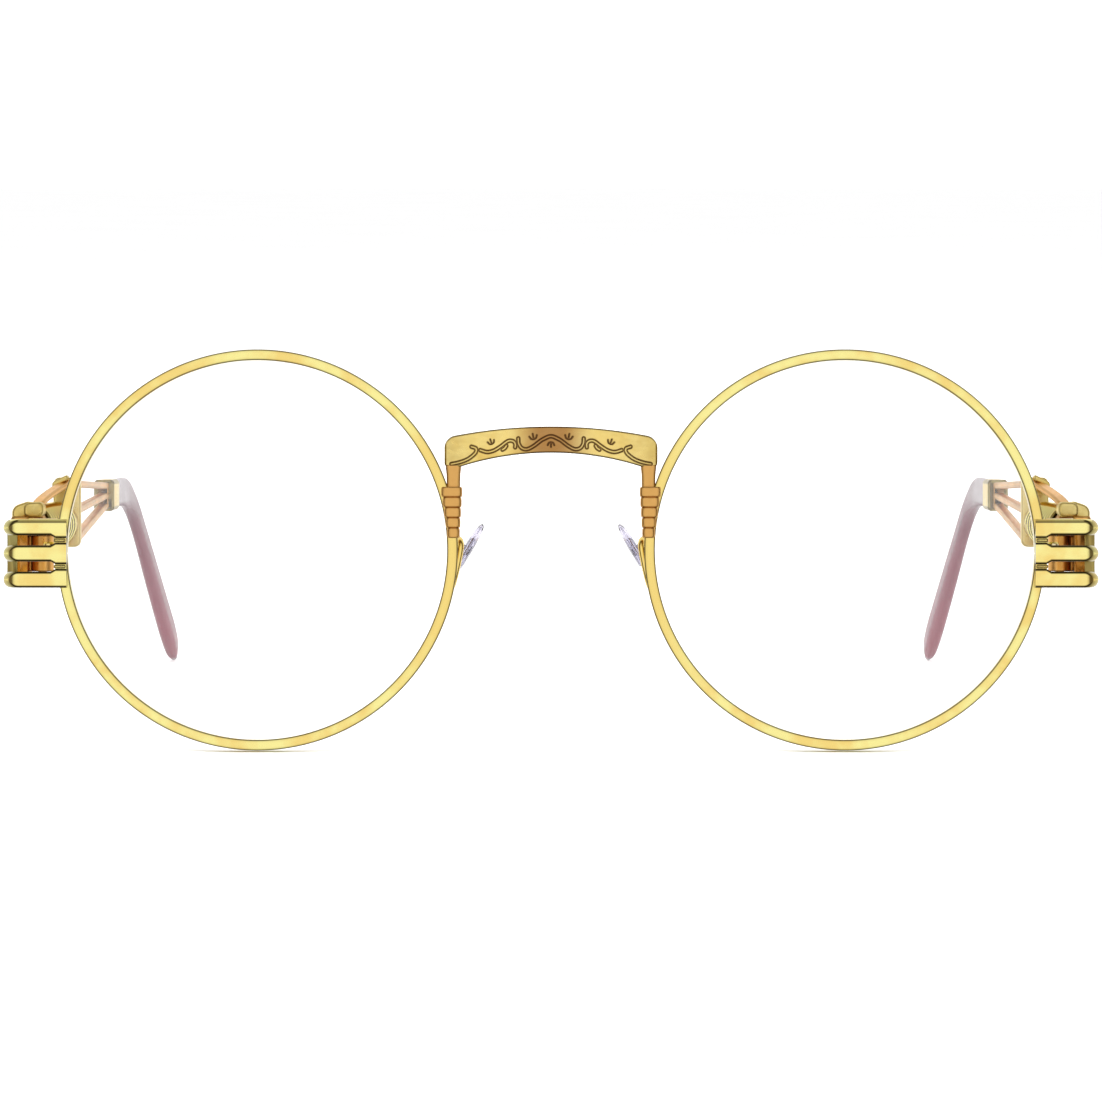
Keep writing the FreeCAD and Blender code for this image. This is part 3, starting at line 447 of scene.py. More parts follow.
def place_piece(name, mesh, finish, body, slot, *nodes, sharp=38, place=UPRIGHT):
    """Puts a mesh in the frame as a finished piece that rides on a body."""
    mesh.transform(place)
    shape = bmesh.new()
    shape.from_mesh(mesh)
    bmesh.ops.recalc_face_normals(shape, faces=shape.faces)
    shape.to_mesh(mesh)
    shape.free()
    mesh.shade_smooth()
    mesh.set_sharp_from_angle(angle=math.radians(sharp))
    mesh.materials.clear()
    mesh.materials.append(finish_of(finish))
    piece = bpy.data.objects.new(name, mesh)
    bpy.context.scene.collection.objects.link(piece)
    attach(piece, body)
    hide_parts(*nodes)
    return piece


def rounded(width, height, corners, steps=5, crown=0.0):
    """A rounded oblong as (across, up, edge shade); corners are one radius or four (across, up).
    crown sets the outer side's two ends back, so that it bulges slightly between them.
    Unshaded points stand at lead beyond each corner, so that the painted edge shade keeps to the corner."""
    if isinstance(corners, (int, float)):
        corners = [(corners, corners)] * 4
    points = []
    lead = 0.09
    signs = ((1, 1), (-1, 1), (-1, -1), (1, -1))
    for number, ((sign_a, sign_b), (ra, rb)) in enumerate(zip(signs, corners)):
        middle_a, middle_b = sign_a * (width / 2 - ra), sign_b * (height / 2 - rb)
        start, end = math.pi / 2 * number, math.pi / 2 * (number + 1)
        arc = []
        for step in range(steps + 1):
            angle = start + math.pi / 2 * step / steps
            wear = 1.0 if 0 < step < steps else 0.75
            arc.append((middle_a + ra * math.cos(angle), middle_b + rb * math.sin(angle), wear))
        points.append((arc[0][0] + lead * math.sin(start), arc[0][1] - lead * math.cos(start), 0.0))
        points += arc
        points.append((arc[-1][0] - lead * math.sin(end), arc[-1][1] + lead * math.cos(end), 0.0))
        if number == 3 and crown:
            flat = height / 2 - rb - lead
            points += [(width / 2, flat * share, 0.0) for share in (-0.6, -0.2, 0.2, 0.6)]
    if crown:
        points = [(a - crown * (2 * b / height) ** 2 * (a > 0), b, wear) for a, b, wear in points]
    return points


def circle(radius, count=20):
    return [(radius * math.cos(2 * math.pi * k / count), radius * math.sin(2 * math.pi * k / count), 0.0)
            for k in range(count)]


def smooth_line(points, steps=8):
    """A smooth line through the points, which may be tuples of any length."""
    rows = [np.array(point, float) for point in points]
    rows = [2 * rows[0] - rows[1]] + rows + [2 * rows[-1] - rows[-2]]
    line = []
    for a, b, c, d in zip(rows, rows[1:], rows[2:], rows[3:]):
        for step in range(steps):
            t = step / steps
            line.append(0.5 * (2 * b + (c - a) * t + (2 * a - 5 * b + 4 * c - d) * t ** 2
                               + (3 * b - a - 3 * c + d) * t ** 3))
    return line + [rows[-2]]


def follow(path, section, up=Vector((0, 0, 1))):
    """Rings of a section along a path; section(index) gives (across, up, edge shade)."""
    rings, last = [], len(path) - 1
    for index, point in enumerate(path):
        ahead = (path[min(index + 1, last)] - path[max(index - 1, 0)]).normalized()
        across = ahead.cross(up).normalized()
        rise = across.cross(ahead)
        rings.append([(point + across * a + rise * b, wear)
                      for a, b, wear in section(index)])
    return rings


def block(stock, put, width, height, low, high, corner, round_end=0.0, wear=1.0):
    """A bar with rounded corners and ends; put turns (across, up, along) into a point."""
    steps = 5
    levels = [(low, 0.0)]
    if round_end:
        turn = [math.pi / 2 * step / steps for step in range(steps + 1)]
        levels = [(low + round_end * (1 - math.sin(t)), round_end * (1 - math.cos(t)))
                  for t in reversed(turn)]
        levels += [(high - round_end * (1 - math.sin(t)), round_end * (1 - math.cos(t)))
                   for t in turn]
    else:
        levels.append((high, 0.0))
    rings = []
    for level, inset in levels:
        radius = max(corner - inset, 0.03)
        at_end = 0.7 if round_end and inset > 0 else 0.0
        shape = rounded(width - 2 * inset, height - 2 * inset, radius)
        rings.append([(put(a, b, level), max(mark, at_end) * wear) for a, b, mark in shape])
    stock.skin(rings)


def bar_between(start, end, up=Vector((0, 0, 1))):
    """put() for a block that runs from start towards end, in upright millimetres."""
    ahead = (end - start).normalized()
    across = ahead.cross(up).normalized()
    rise = across.cross(ahead)
    return lambda a, b, h: start + across * a + rise * b + ahead * h


def refined(node, bevel):
    """A copy of a CAD node with its edges broken."""
    shape = bmesh.new()
    shape.from_mesh(frame["nodes"][node].data)
    bmesh.ops.remove_doubles(shape, verts=shape.verts, dist=0.000002)
    shape.transform(UPRIGHT.inverted())
    bmesh.ops.dissolve_limit(shape, angle_limit=math.radians(1), verts=shape.verts,
                             edges=shape.edges)
    sharp = [edge for edge in shape.edges
             if len(edge.link_faces) == 2 and edge.calc_face_angle() > math.radians(35)]
    bmesh.ops.bevel(shape, geom=sharp, offset=bevel, segments=2, profile=0.5,
                    affect="EDGES", clamp_overlap=True)
    mesh = bpy.data.meshes.new(node)
    shape.to_mesh(mesh)
    shape.free()
    return mesh


# ---------------------------------------------------------------- node trees


def new_tree(name, inputs):
    """A geometry tree with named inputs; inputs are (name, socket type)."""
    tree = bpy.data.node_groups.new(name, "GeometryNodeTree")
    for label, kind in inputs:
        tree.interface.new_socket(name=label, in_out="INPUT", socket_type=kind)
    tree.interface.new_socket(name="Geometry", in_out="OUTPUT", socket_type="NodeSocketGeometry")
    return tree, tree.nodes, tree.links, tree.nodes.new("NodeGroupInput").outputs


def close_tree(nodes, links, geometry, finish):
    """Ends a tree in Realize Instances and Set Material."""
    realize = nodes.new("GeometryNodeRealizeInstances")
    paint = nodes.new("GeometryNodeSetMaterial")
    out = nodes.new("NodeGroupOutput")
    links.new(geometry, realize.inputs["Geometry"])
    links.new(realize.outputs["Geometry"], paint.inputs["Geometry"])
    links.new(finish, paint.inputs["Material"])
    links.new(paint.outputs["Geometry"], out.inputs["Geometry"])


def arithmetic(nodes, links, operation, first, second):
    """One math node; either operand may be a number or a socket."""
    node = nodes.new("ShaderNodeMath")
    node.operation = operation
    for socket, value in zip(node.inputs, (first, second)):
        if isinstance(value, (int, float)):
            socket.default_value = value
        else:
            links.new(value, socket)
    return node.outputs[0]


def baked(tree, **sizes):
    """The tree's result as a plain mesh; sizes are the tree's inputs by name."""
    carrier = bpy.data.objects.new("carrier", bpy.data.meshes.new("carrier"))
    bpy.context.scene.collection.objects.link(carrier)
    modifier = carrier.modifiers.new("build", "NODES")
    modifier.node_group = tree
    for item in tree.interface.items_tree:
        if item.item_type == "SOCKET" and item.in_out == "INPUT":
            modifier[item.identifier] = sizes[item.name.lower().replace(" ", "_")]
    depsgraph = bpy.context.evaluated_depsgraph_get()
    mesh = bpy.data.meshes.new_from_object(carrier.evaluated_get(depsgraph))
    bpy.data.objects.remove(carrier)
    return mesh


def rim_tree():
    """A ring of wire with rounded edges, open at its slit."""
    number = "NodeSocketFloat"
    tree, nodes, links, given = new_tree("rim_wire", [
        ("Radius", number), ("Width", number), ("Depth", number), ("Edge", number),
        ("Slit", number), ("Segments", "NodeSocketInt"), ("Finish", "NodeSocketMaterial")])
    ring = nodes.new("GeometryNodeCurveArc")
    links.new(given["Segments"], ring.inputs["Resolution"])
    links.new(given["Radius"], ring.inputs["Radius"])
    links.new(arithmetic(nodes, links, "MULTIPLY", given["Slit"], 0.5), ring.inputs["Start Angle"])
    links.new(arithmetic(nodes, links, "SUBTRACT", 2 * math.pi, given["Slit"]),
              ring.inputs["Sweep Angle"])
    section = nodes.new("GeometryNodeCurvePrimitiveQuadrilateral")
    links.new(given["Width"], section.inputs["Width"])
    links.new(given["Depth"], section.inputs["Height"])
    divide = nodes.new("GeometryNodeSubdivideCurve")
    divide.inputs["Cuts"].default_value = 5
    links.new(section.outputs["Curve"], divide.inputs["Curve"])
    fillet = nodes.new("GeometryNodeFilletCurve")
    fillet.mode = "POLY"
    fillet.inputs["Count"].default_value = 5
    links.new(divide.outputs["Curve"], fillet.inputs["Curve"])
    links.new(given["Edge"], fillet.inputs["Radius"])
    sweep = nodes.new("GeometryNodeCurveToMesh")
    sweep.inputs["Fill Caps"].default_value = True
    links.new(ring.outputs["Curve"], sweep.inputs["Curve"])
    links.new(fillet.outputs["Curve"], sweep.inputs["Profile Curve"])
    close_tree(nodes, links, sweep.outputs["Mesh"], given["Finish"])
    return tree


def coil_tree():
    """A close-wound helix of round wire."""
    number = "NodeSocketFloat"
    tree, nodes, links, given = new_tree("coil_spring", [
        ("Radius", number), ("Wire", number), ("Turns", number), ("Length", number),
        ("Finish", "NodeSocketMaterial")])
    helix = nodes.new("GeometryNodeCurveSpiral")
    helix.inputs["Resolution"].default_value = 56
    links.new(given["Turns"], helix.inputs["Rotations"])
    links.new(given["Radius"], helix.inputs["Start Radius"])
    links.new(given["Radius"], helix.inputs["End Radius"])
    links.new(given["Length"], helix.inputs["Height"])
    section = nodes.new("GeometryNodeCurvePrimitiveCircle")
    section.inputs["Resolution"].default_value = 16
    links.new(given["Wire"], section.inputs["Radius"])
    sweep = nodes.new("GeometryNodeCurveToMesh")
    sweep.inputs["Fill Caps"].default_value = True
    links.new(helix.outputs["Curve"], sweep.inputs["Curve"])
    links.new(section.outputs["Curve"], sweep.inputs["Profile Curve"])
    close_tree(nodes, links, sweep.outputs["Mesh"], given["Finish"])
    return tree


def screw_tree():
    """A screw whose slotted head stands on Z = 0, with its shank below."""
    number = "NodeSocketFloat"
    tree, nodes, links, given = new_tree("slotted_screw", [
        ("Head Radius", number), ("Head Height", number), ("Shank Radius", number),
        ("Shank Length", number), ("Slot Width", number), ("Finish", "NodeSocketMaterial")])

    def lifted(solid, height):
        shift = nodes.new("ShaderNodeCombineXYZ")
        links.new(height, shift.inputs["Z"])
        move = nodes.new("GeometryNodeTransform")
        links.new(solid.outputs["Mesh"], move.inputs["Geometry"])
        links.new(shift.outputs["Vector"], move.inputs["Translation"])
        return move.outputs["Geometry"]

    def cone(top, bottom, depth, height=None):
        solid = nodes.new("GeometryNodeMeshCone")
        solid.inputs["Vertices"].default_value = 40
        for socket, value in (("Radius Top", top), ("Radius Bottom", bottom), ("Depth", depth)):
            links.new(value, solid.inputs[socket])
        return lifted(solid, height) if height else solid.outputs["Mesh"]

    half = arithmetic(nodes, links, "MULTIPLY", given["Head Height"], 0.5)
    narrow = arithmetic(nodes, links, "MULTIPLY", given["Head Radius"], 0.86)
    drop = arithmetic(nodes, links, "MULTIPLY", given["Shank Length"], -1.0)
    reach = arithmetic(nodes, links, "ADD", given["Shank Length"],
                       arithmetic(nodes, links, "MULTIPLY", half, 0.6))
    crown = cone(narrow, given["Head Radius"], half, half)
    band = cone(given["Head Radius"], given["Head Radius"], half)
    shank = cone(given["Shank Radius"], given["Shank Radius"], reach, drop)
    head = nodes.new("GeometryNodeMeshBoolean")
    head.operation = "UNION"
    for part in (crown, band):
        links.new(part, head.inputs["Mesh 2"])
    slot = nodes.new("GeometryNodeMeshCube")
    size = nodes.new("ShaderNodeCombineXYZ")
    links.new(arithmetic(nodes, links, "MULTIPLY", given["Head Radius"], 3.0), size.inputs["X"])
    links.new(given["Slot Width"], size.inputs["Y"])
    links.new(given["Head Height"], size.inputs["Z"])
    links.new(size.outputs["Vector"], slot.inputs["Size"])
    trim = nodes.new("GeometryNodeMeshBoolean")
    trim.operation = "DIFFERENCE"
    links.new(head.outputs["Mesh"], trim.inputs["Mesh 1"])
    links.new(lifted(slot, given["Head Height"]), trim.inputs["Mesh 2"])
    whole = nodes.new("GeometryNodeJoinGeometry")
    for part in (trim.outputs["Mesh"], shank):
        links.new(part, whole.inputs["Geometry"])
    close_tree(nodes, links, whole.outputs["Geometry"], given["Finish"])
    return tree


# ---------------------------------------------------------------- operators


class EYEGLASSES_OT_studio(Operator):
    """Build the floor, the lights, the surroundings and the camera"""
    bl_idname = "eyeglasses.studio"
    bl_label = "Studio"

    def execute(self, context):
        scene = context.scene
        setup = scene.eyeglasses_studio
        material, nodes, links, shader = blank_finish("studio_floor")
        grain = ramp(nodes, links, noise(nodes, links, 9), [(0.3, tuple(0.985 * t for t in setup.floor)),
                                                            (0.7, tuple(setup.floor))])
        links.new(grain, shader.inputs["Base Color"])
        shader.inputs["Roughness"].default_value = 0.8
        shader.inputs["Specular IOR Level"].default_value = 0.1
        plate = bpy.data.meshes.new("studio_floor")
        reach, count = 8.0, 64
        turns = [2 * math.pi * step / count for step in range(count)]
        plate.from_pydata([(reach * math.cos(t), reach * math.sin(t), -0.0001) for t in turns], [],
                          [tuple(range(count))])
        plate.materials.append(material)
        floor = bpy.data.objects.new("studio_floor", plate)
        scene.collection.objects.link(floor)
        floor.visible_glossy = False
        self.surroundings(scene)
        for name, spot, aim, size, power in (
                ("key_light", (-0.5, -0.75, 0.9), (0, -0.02, 0.02), 0.7, 9.0),
                ("fill_light", (0.75, -0.6, 0.5), (0, -0.02, 0.02), 0.6, 4.0),
                ("back_light", (0.1, 0.9, 0.8), (0, 0, 0.02), 0.8, 6.0)):
            lamp = bpy.data.lights.new(name, "AREA")
            lamp.shape = "DISK"
            lamp.size = size
            lamp.energy = power
            light = bpy.data.objects.new(name, lamp)
            light.location = spot
            light.visible_glossy = False
            light.rotation_euler = (Vector(aim) - Vector(spot)).to_track_quat("-Z", "Y").to_euler()
            scene.collection.objects.link(light)
        across, back, up = (UPRIGHT.col[k].to_3d().normalized() for k in range(3))
        eye = UPRIGHT @ Vector((0, -setup.distance / MM, setup.height / MM))
        view = bpy.data.cameras.new("camera")
        view.sensor_width = 36
        view.lens = view.sensor_width * setup.distance / setup.width
        view.clip_start = 0.01
        camera = bpy.data.objects.new("camera", view)
        camera.matrix_world = Matrix.Translation(eye) @ Matrix((across, up, -back)).transposed().to_4x4()
        scene.collection.objects.link(camera)
        scene.camera = camera
        scene.view_settings.view_transform = "Standard"
        return {"FINISHED"}

    def surroundings(self, scene):
        """Bright behind the camera and behind the frame, with a darker band between."""
        world = bpy.data.worlds.new("surroundings")
        scene.world = world
        world.use_nodes = True
        nodes, links = world.node_tree.nodes, world.node_tree.links
        nodes.clear()
        place = nodes.new("ShaderNodeTexCoord")
        facing = nodes.new("ShaderNodeVectorMath")
        facing.operation = "DOT_PRODUCT"
        facing.inputs[1].default_value = -UPRIGHT.col[1].to_3d().normalized()
        links.new(place.outputs["Generated"], facing.inputs[0])
        band = nodes.new("ShaderNodeMapRange")
        band.inputs["From Min"].default_value = -1
        band.inputs["From Max"].default_value = 1
        links.new(facing.outputs["Value"], band.inputs["Value"])
        bright = ramp(nodes, links, band.outputs["Result"], [
            (0.0, (1, 1, 1)), (0.3, (1, 1, 1)), (0.5, (0.75, 0.74, 0.72)),
            (0.57, (0.12, 0.095, 0.07)), (0.76, (0.12, 0.095, 0.07)), (0.84, (0.78, 0.76, 0.72)),
            (0.91, (1, 1, 0.99)), (1.0, (1, 1, 1))])
        reflected = nodes.new("ShaderNodeBackground")
        links.new(bright, reflected.inputs["Color"])
        plain = nodes.new("ShaderNodeBackground")
        plain.inputs["Color"].default_value = (1, 1, 1, 1)
        plain.inputs["Strength"].default_value = 1.13
        rays = nodes.new("ShaderNodeLightPath")
        choose = nodes.new("ShaderNodeMixShader")
        links.new(rays.outputs["Is Glossy Ray"], choose.inputs["Fac"])
        links.new(plain.outputs["Background"], choose.inputs[1])
        links.new(reflected.outputs["Background"], choose.inputs[2])
        out = nodes.new("ShaderNodeOutputWorld")
        links.new(choose.outputs["Shader"], out.inputs["Surface"])


class EYEGLASSES_OT_rims(Operator):
    """Build the two rims of split wire"""
    bl_idname = "eyeglasses.rims"
    bl_label = "Rims"

    def execute(self, context):
        sizes = context.scene.eyeglasses_front
        tree = rim_tree()
        middle = (sizes.rim_outer - sizes.rim_wire / 2) / MM
        for label, side in SIDES.items():
            mesh = baked(tree, radius=middle, width=sizes.rim_wire / MM, depth=sizes.rim_depth / MM,
                         edge=sizes.rim_edge / MM, slit=sizes.rim_slit / MM / middle,
                         segments=context.scene.eyeglasses_studio.segments,
                         finish=finish_of("polished_gold"))
            # Painted shade on the wire's rounded edges, standing in for the dark surroundings they
            # reflect.
            wear = []
            for vertex in mesh.vertices:
                from_side = sizes.rim_wire / MM / 2 - abs(math.hypot(vertex.co.x, vertex.co.y) - middle)
                from_face = sizes.rim_depth / MM / 2 - abs(vertex.co.z)
                wear.append(max(0.0, min(1.0, 1.25 - max(from_side, from_face) * MM / sizes.rim_edge)))
            mesh.attributes.new("edge", "FLOAT", "POINT").data.foreach_set("value", wear)
            turn = Matrix.Rotation(0 if side > 0 else math.pi, 4, "Y")
            slit = Matrix.Rotation(math.asin(-sizes.finger_mid / MM / middle), 4, "Y")
            slit = slit if side > 0 else slit.inverted()
            place = UPRIGHT @ Matrix.Translation((side * sizes.rim_centre / MM, 0, 0))
            place = place @ slit @ turn @ Matrix.Rotation(math.pi / 2, 4, "X")
            place_piece(f"{label}_round_rim", mesh, "polished_gold", "front", "polished_gold",
                        f"{label}_rim", place=place)
        return {"FINISHED"}


class EYEGLASSES_OT_lenses(Operator):
    """Build the two clear lenses"""
    bl_idname = "eyeglasses.lenses"
    bl_label = "Lenses"

    def execute(self, context):
        sizes = context.scene.eyeglasses_front
        curve, land, bevel = sizes.lens_curve / MM, sizes.lens_land / MM, sizes.lens_bevel / MM
        pole, steps, count = 0.02, 12, 120
        edge_front, crest = -0.65, 0.1
        profile = []
        for part in range(steps + 1):
            radius = pole + (land - pole) * part / steps
            rise = math.sqrt(curve ** 2 - radius ** 2) - math.sqrt(curve ** 2 - land ** 2)
            profile.append((radius, edge_front - rise))
        rear = [(radius, y + sizes.lens_thick / MM) for radius, y in reversed(profile)]
        profile += [(bevel, crest)] + rear
        for label, side in SIDES.items():
            stock = Stock()
            centre = Vector((side * sizes.rim_centre / MM, 0, 0))
            rings = []
            for radius, y in profile:
                rings.append([(centre + Vector((radius * math.cos(2 * math.pi * k / count), y,
                                                radius * math.sin(2 * math.pi * k / count))), 0.0)
                              for k in range(count)])
            stock.skin(rings)
            place_piece(f"{label}_clear_lens", stock.mesh("lens"), "demo_lens", "front", "demo_lens",
                        f"{label}_lens", sharp=30)
        return {"FINISHED"}


class EYEGLASSES_OT_bridge(Operator):
    """Build the bowed bridge plate with its engraved scroll"""
    bl_idname = "eyeglasses.bridge"
    bl_label = "Bridge plate"

    def scroll(self):
        """Middle lines of the engraved bands, on the left half, as (across, up)."""
        bands = [
            [(-1.1, 14.3), (0, 14.72), (1.1, 14.3), (2.2, 13.5), (3.1, 13.05), (3.8, 13.2),
             (4.2, 13.8), (4.25, 14.45)],
            [(4.65, 13.3), (4.65, 13.75), (4.95, 14.1), (5.6, 14.1), (6.5, 13.45), (7.4, 12.9),
             (8.3, 12.7), (9.2, 12.95)],
            [(6.3, 13.0), (6.0, 13.2), (5.8, 13.5)],
            [(13.0, 11.15), (12.0, 11.35), (11.0, 11.7), (10.3, 12.15), (9.8, 12.65), (9.75, 13.15),
             (10.35, 13.4)],
        ]
        return [smooth_line(band, 6) for band in bands]

    def nearest(self, flat, lines):
        """Distance of each point to the nearest of the lines and their mirror images."""
        reach = np.full(flat.shape[:2], 9.0)
        for line in lines:
            for sign in (-1, 1):
                for first, second in zip(line, line[1:]):
                    a = np.array([first[0] * sign, first[1]])
                    b = np.array([second[0] * sign, second[1]])
                    part = np.clip(((flat - a) @ (b - a)) / max((b - a) @ (b - a), 1e-9), 0, 1)
                    near = np.linalg.norm(flat - a - part[..., None] * (b - a), axis=-1)
                    reach = np.minimum(reach, near)
        return reach

    def sprigs(self):
        """Three short strokes from a stem, as (across, up) lines: buds above and below the wave."""
        strokes = []
        for across, up, size, turn in ((7.7, 13.75, 0.62, 0.35), (2.25, 14.35, 0.7, 0.2),
                                       (0.0, 13.95, 0.6, math.pi)):
            for lean in (-0.85, 0.0, 0.85):
                reach = size * (1.0 if lean == 0 else 0.95)
                bend = turn + lean
                tip = (across + reach * math.sin(bend), up + reach * math.cos(bend))
                mid = (across + 0.5 * reach * math.sin(turn + lean * 1.5),
                       up + 0.5 * reach * math.cos(turn + lean * 1.5))
                strokes.append(smooth_line([(across, up), mid, tip], 4))
        return strokes

    def arched(self, across, height, half, drop):
        """Heights of an arc that falls by drop over half, level beyond it."""
        radius = (half ** 2 + drop ** 2) / (2 * drop)
        return height - radius + np.sqrt(radius ** 2 - np.minimum(np.abs(across), half) ** 2)

    def execute(self, context):
        sizes = context.scene.eyeglasses_front
        half, bow, thick = sizes.bridge_half / MM, sizes.bridge_bow / MM, sizes.bridge_thick / MM
        columns, rows = 700, 96
        across = np.linspace(-half, half, columns)
        size = np.abs(across)
        top = self.arched(across, sizes.bridge_top / MM, half, sizes.bridge_drop / MM)
        low = self.arched(across, sizes.arch_top / MM, sizes.arch_half / MM, sizes.arch_drop / MM)
        top_corner, low_corner = 1.3, 0.5
        for edge, sign, radius in ((top, -1, top_corner), (low, 1, low_corner)):
            inside = np.clip(size - (half - radius), 0, radius)
            edge += sign * (radius - np.sqrt(np.maximum(radius ** 2 - inside ** 2, 0)))
        up = low[:, None] + (top - low)[:, None] * np.linspace(0, 1, rows)[None, :]
        flat = np.stack([np.repeat(across[:, None], rows, 1), up], -1)
        band, stroke = (self.nearest(flat, lines) for lines in (self.scroll(), self.sprigs()))
        band_half, line_half, stroke_half = 0.19, 0.08, 0.11
        groove = np.maximum(np.exp(-((band - band_half) / line_half) ** 2),
                            np.exp(-(stroke / stroke_half) ** 2))
        step = np.minimum(flat[..., 1] - low[:, None], top[:, None] - flat[..., 1])
        step = np.minimum(step, (half - size)[:, None])
        radius = 0.28
        inset = np.clip(radius - step, 0, radius)
        fall = radius - np.sqrt(np.maximum(radius ** 2 - inset ** 2, 0))
        bowed = sizes.bridge_front / MM + bow - np.sqrt(bow ** 2 - across ** 2)
        front = bowed[:, None] + fall + groove * sizes.engraving / MM
        points = np.stack([flat[..., 0], front, flat[..., 1]], -1).reshape(-1, 3)
        wear = np.clip(1.15 - step / 0.2, 0, 1).reshape(-1)
        rear = []
        for column in range(columns):
            for height in (low[column], top[column]):
                rear.append((across[column], bowed[column] + thick, height))
        points = np.concatenate([points, np.array(rear)])
        wear = np.concatenate([wear, np.full(len(rear), 0.5)])
        groove = np.concatenate([groove.reshape(-1), np.zeros(len(rear))])
        start = columns * rows
        faces = []
        for column in range(columns - 1):
            here, there = column * rows, (column + 1) * rows
            for row in range(rows - 1):
                faces.append((here + row, there + row, there + row + 1, here + row + 1))
            near, far = start + 2 * column, start + 2 * column + 2
            faces += [(near, near + 1, far + 1, far), (here, near, far, there),
                      (here + rows - 1, there + rows - 1, far + 1, near + 1)]
        for column in (0, columns - 1):
            here, near = column * rows, start + 2 * column
            faces.append(tuple(range(here, here + rows)) + (near + 1, near))
        mesh = bpy.data.meshes.new("bridge")
        mesh.from_pydata(points.tolist(), [], faces)
        for key, values in (("edge", wear), ("groove", groove)):
            mesh.attributes.new(key, "FLOAT", "POINT").data.foreach_set("value", values)
        place_piece("engraved_bridge", mesh, "bridge_gold", "front", "polished_gold", "bridge_plate",
                    sharp=50)
        return {"FINISHED"}


class EYEGLASSES_OT_bridge_legs(Operator):
    """Build the legs of the bridge and the ribbed sleeves that bind them to the rims"""
    bl_idname = "eyeglasses.bridge_legs"
    bl_label = "Bridge legs and sleeves"

    def execute(self, context):
        sizes = context.scene.eyeglasses_front
        leg_across, sleeve_top = sizes.leg_across / MM, sizes.sleeve_top / MM
        leg_wide, leg_deep, sleeve_deep, count = 1.75, 1.6, 3.1, 5
        tall = sizes.sleeve_tall / MM / count
        leg_profile = ((10.95, -0.12), (10.5, -0.1), (9.9, -0.03), (9.0, 0.0), (7.0, 0.0),
                       (4.7, 0.0), (4.6, 0.1))
        ring_profile = ((0.0, 0.16), (0.03, 0.09), (0.09, 0.035), (0.2, 0.005), (0.5, 0.0),
                        (0.8, 0.005), (0.91, 0.035), (0.97, 0.09), (1.0, 0.16))
        for label, side in SIDES.items():
            leg = Stock()
            rings = []
            for height, inset in leg_profile:
                shape = rounded(leg_wide - 2 * inset, leg_deep - 2 * inset, 0.3)
                rings.append([(Vector((side * leg_across + a, b, height)), 0.25 * wear)
                              for a, b, wear in shape])
            leg.skin(rings)
            place_piece(f"{label}_bridge_leg_bar", leg.mesh("leg"), "satin_gold", "front",
                        "satin_gold", f"{label}_bridge_leg")
            sleeve = Stock()
            rings = []
            for ring in range(count):
                part = (ring + 0.5) / count
                near, far = 11.5 + 0.4 * part, 14.35 - 0.95 * part
                top = sleeve_top - tall * ring
                for share, inset in ring_profile:
                    shape = rounded(far - near - 2 * inset, sleeve_deep - 2 * inset, 0.42)
                    # Painted shade in the grooves between the rings.
                    painted_shade = 0.28 if inset > 0.1 else 0.0
                    rings.append([(Vector((side * (near + far) / 2 + a, b, top - tall * share)),
                                   max(painted_shade, 0.12 * wear)) for a, b, wear in shape])
            sleeve.skin(rings)
            place_piece(f"{label}_ringed_sleeve", sleeve.mesh("sleeve"), "satin_gold", "front",
                        "satin_gold", f"{label}_ribbed_sleeve")
        return {"FINISHED"}


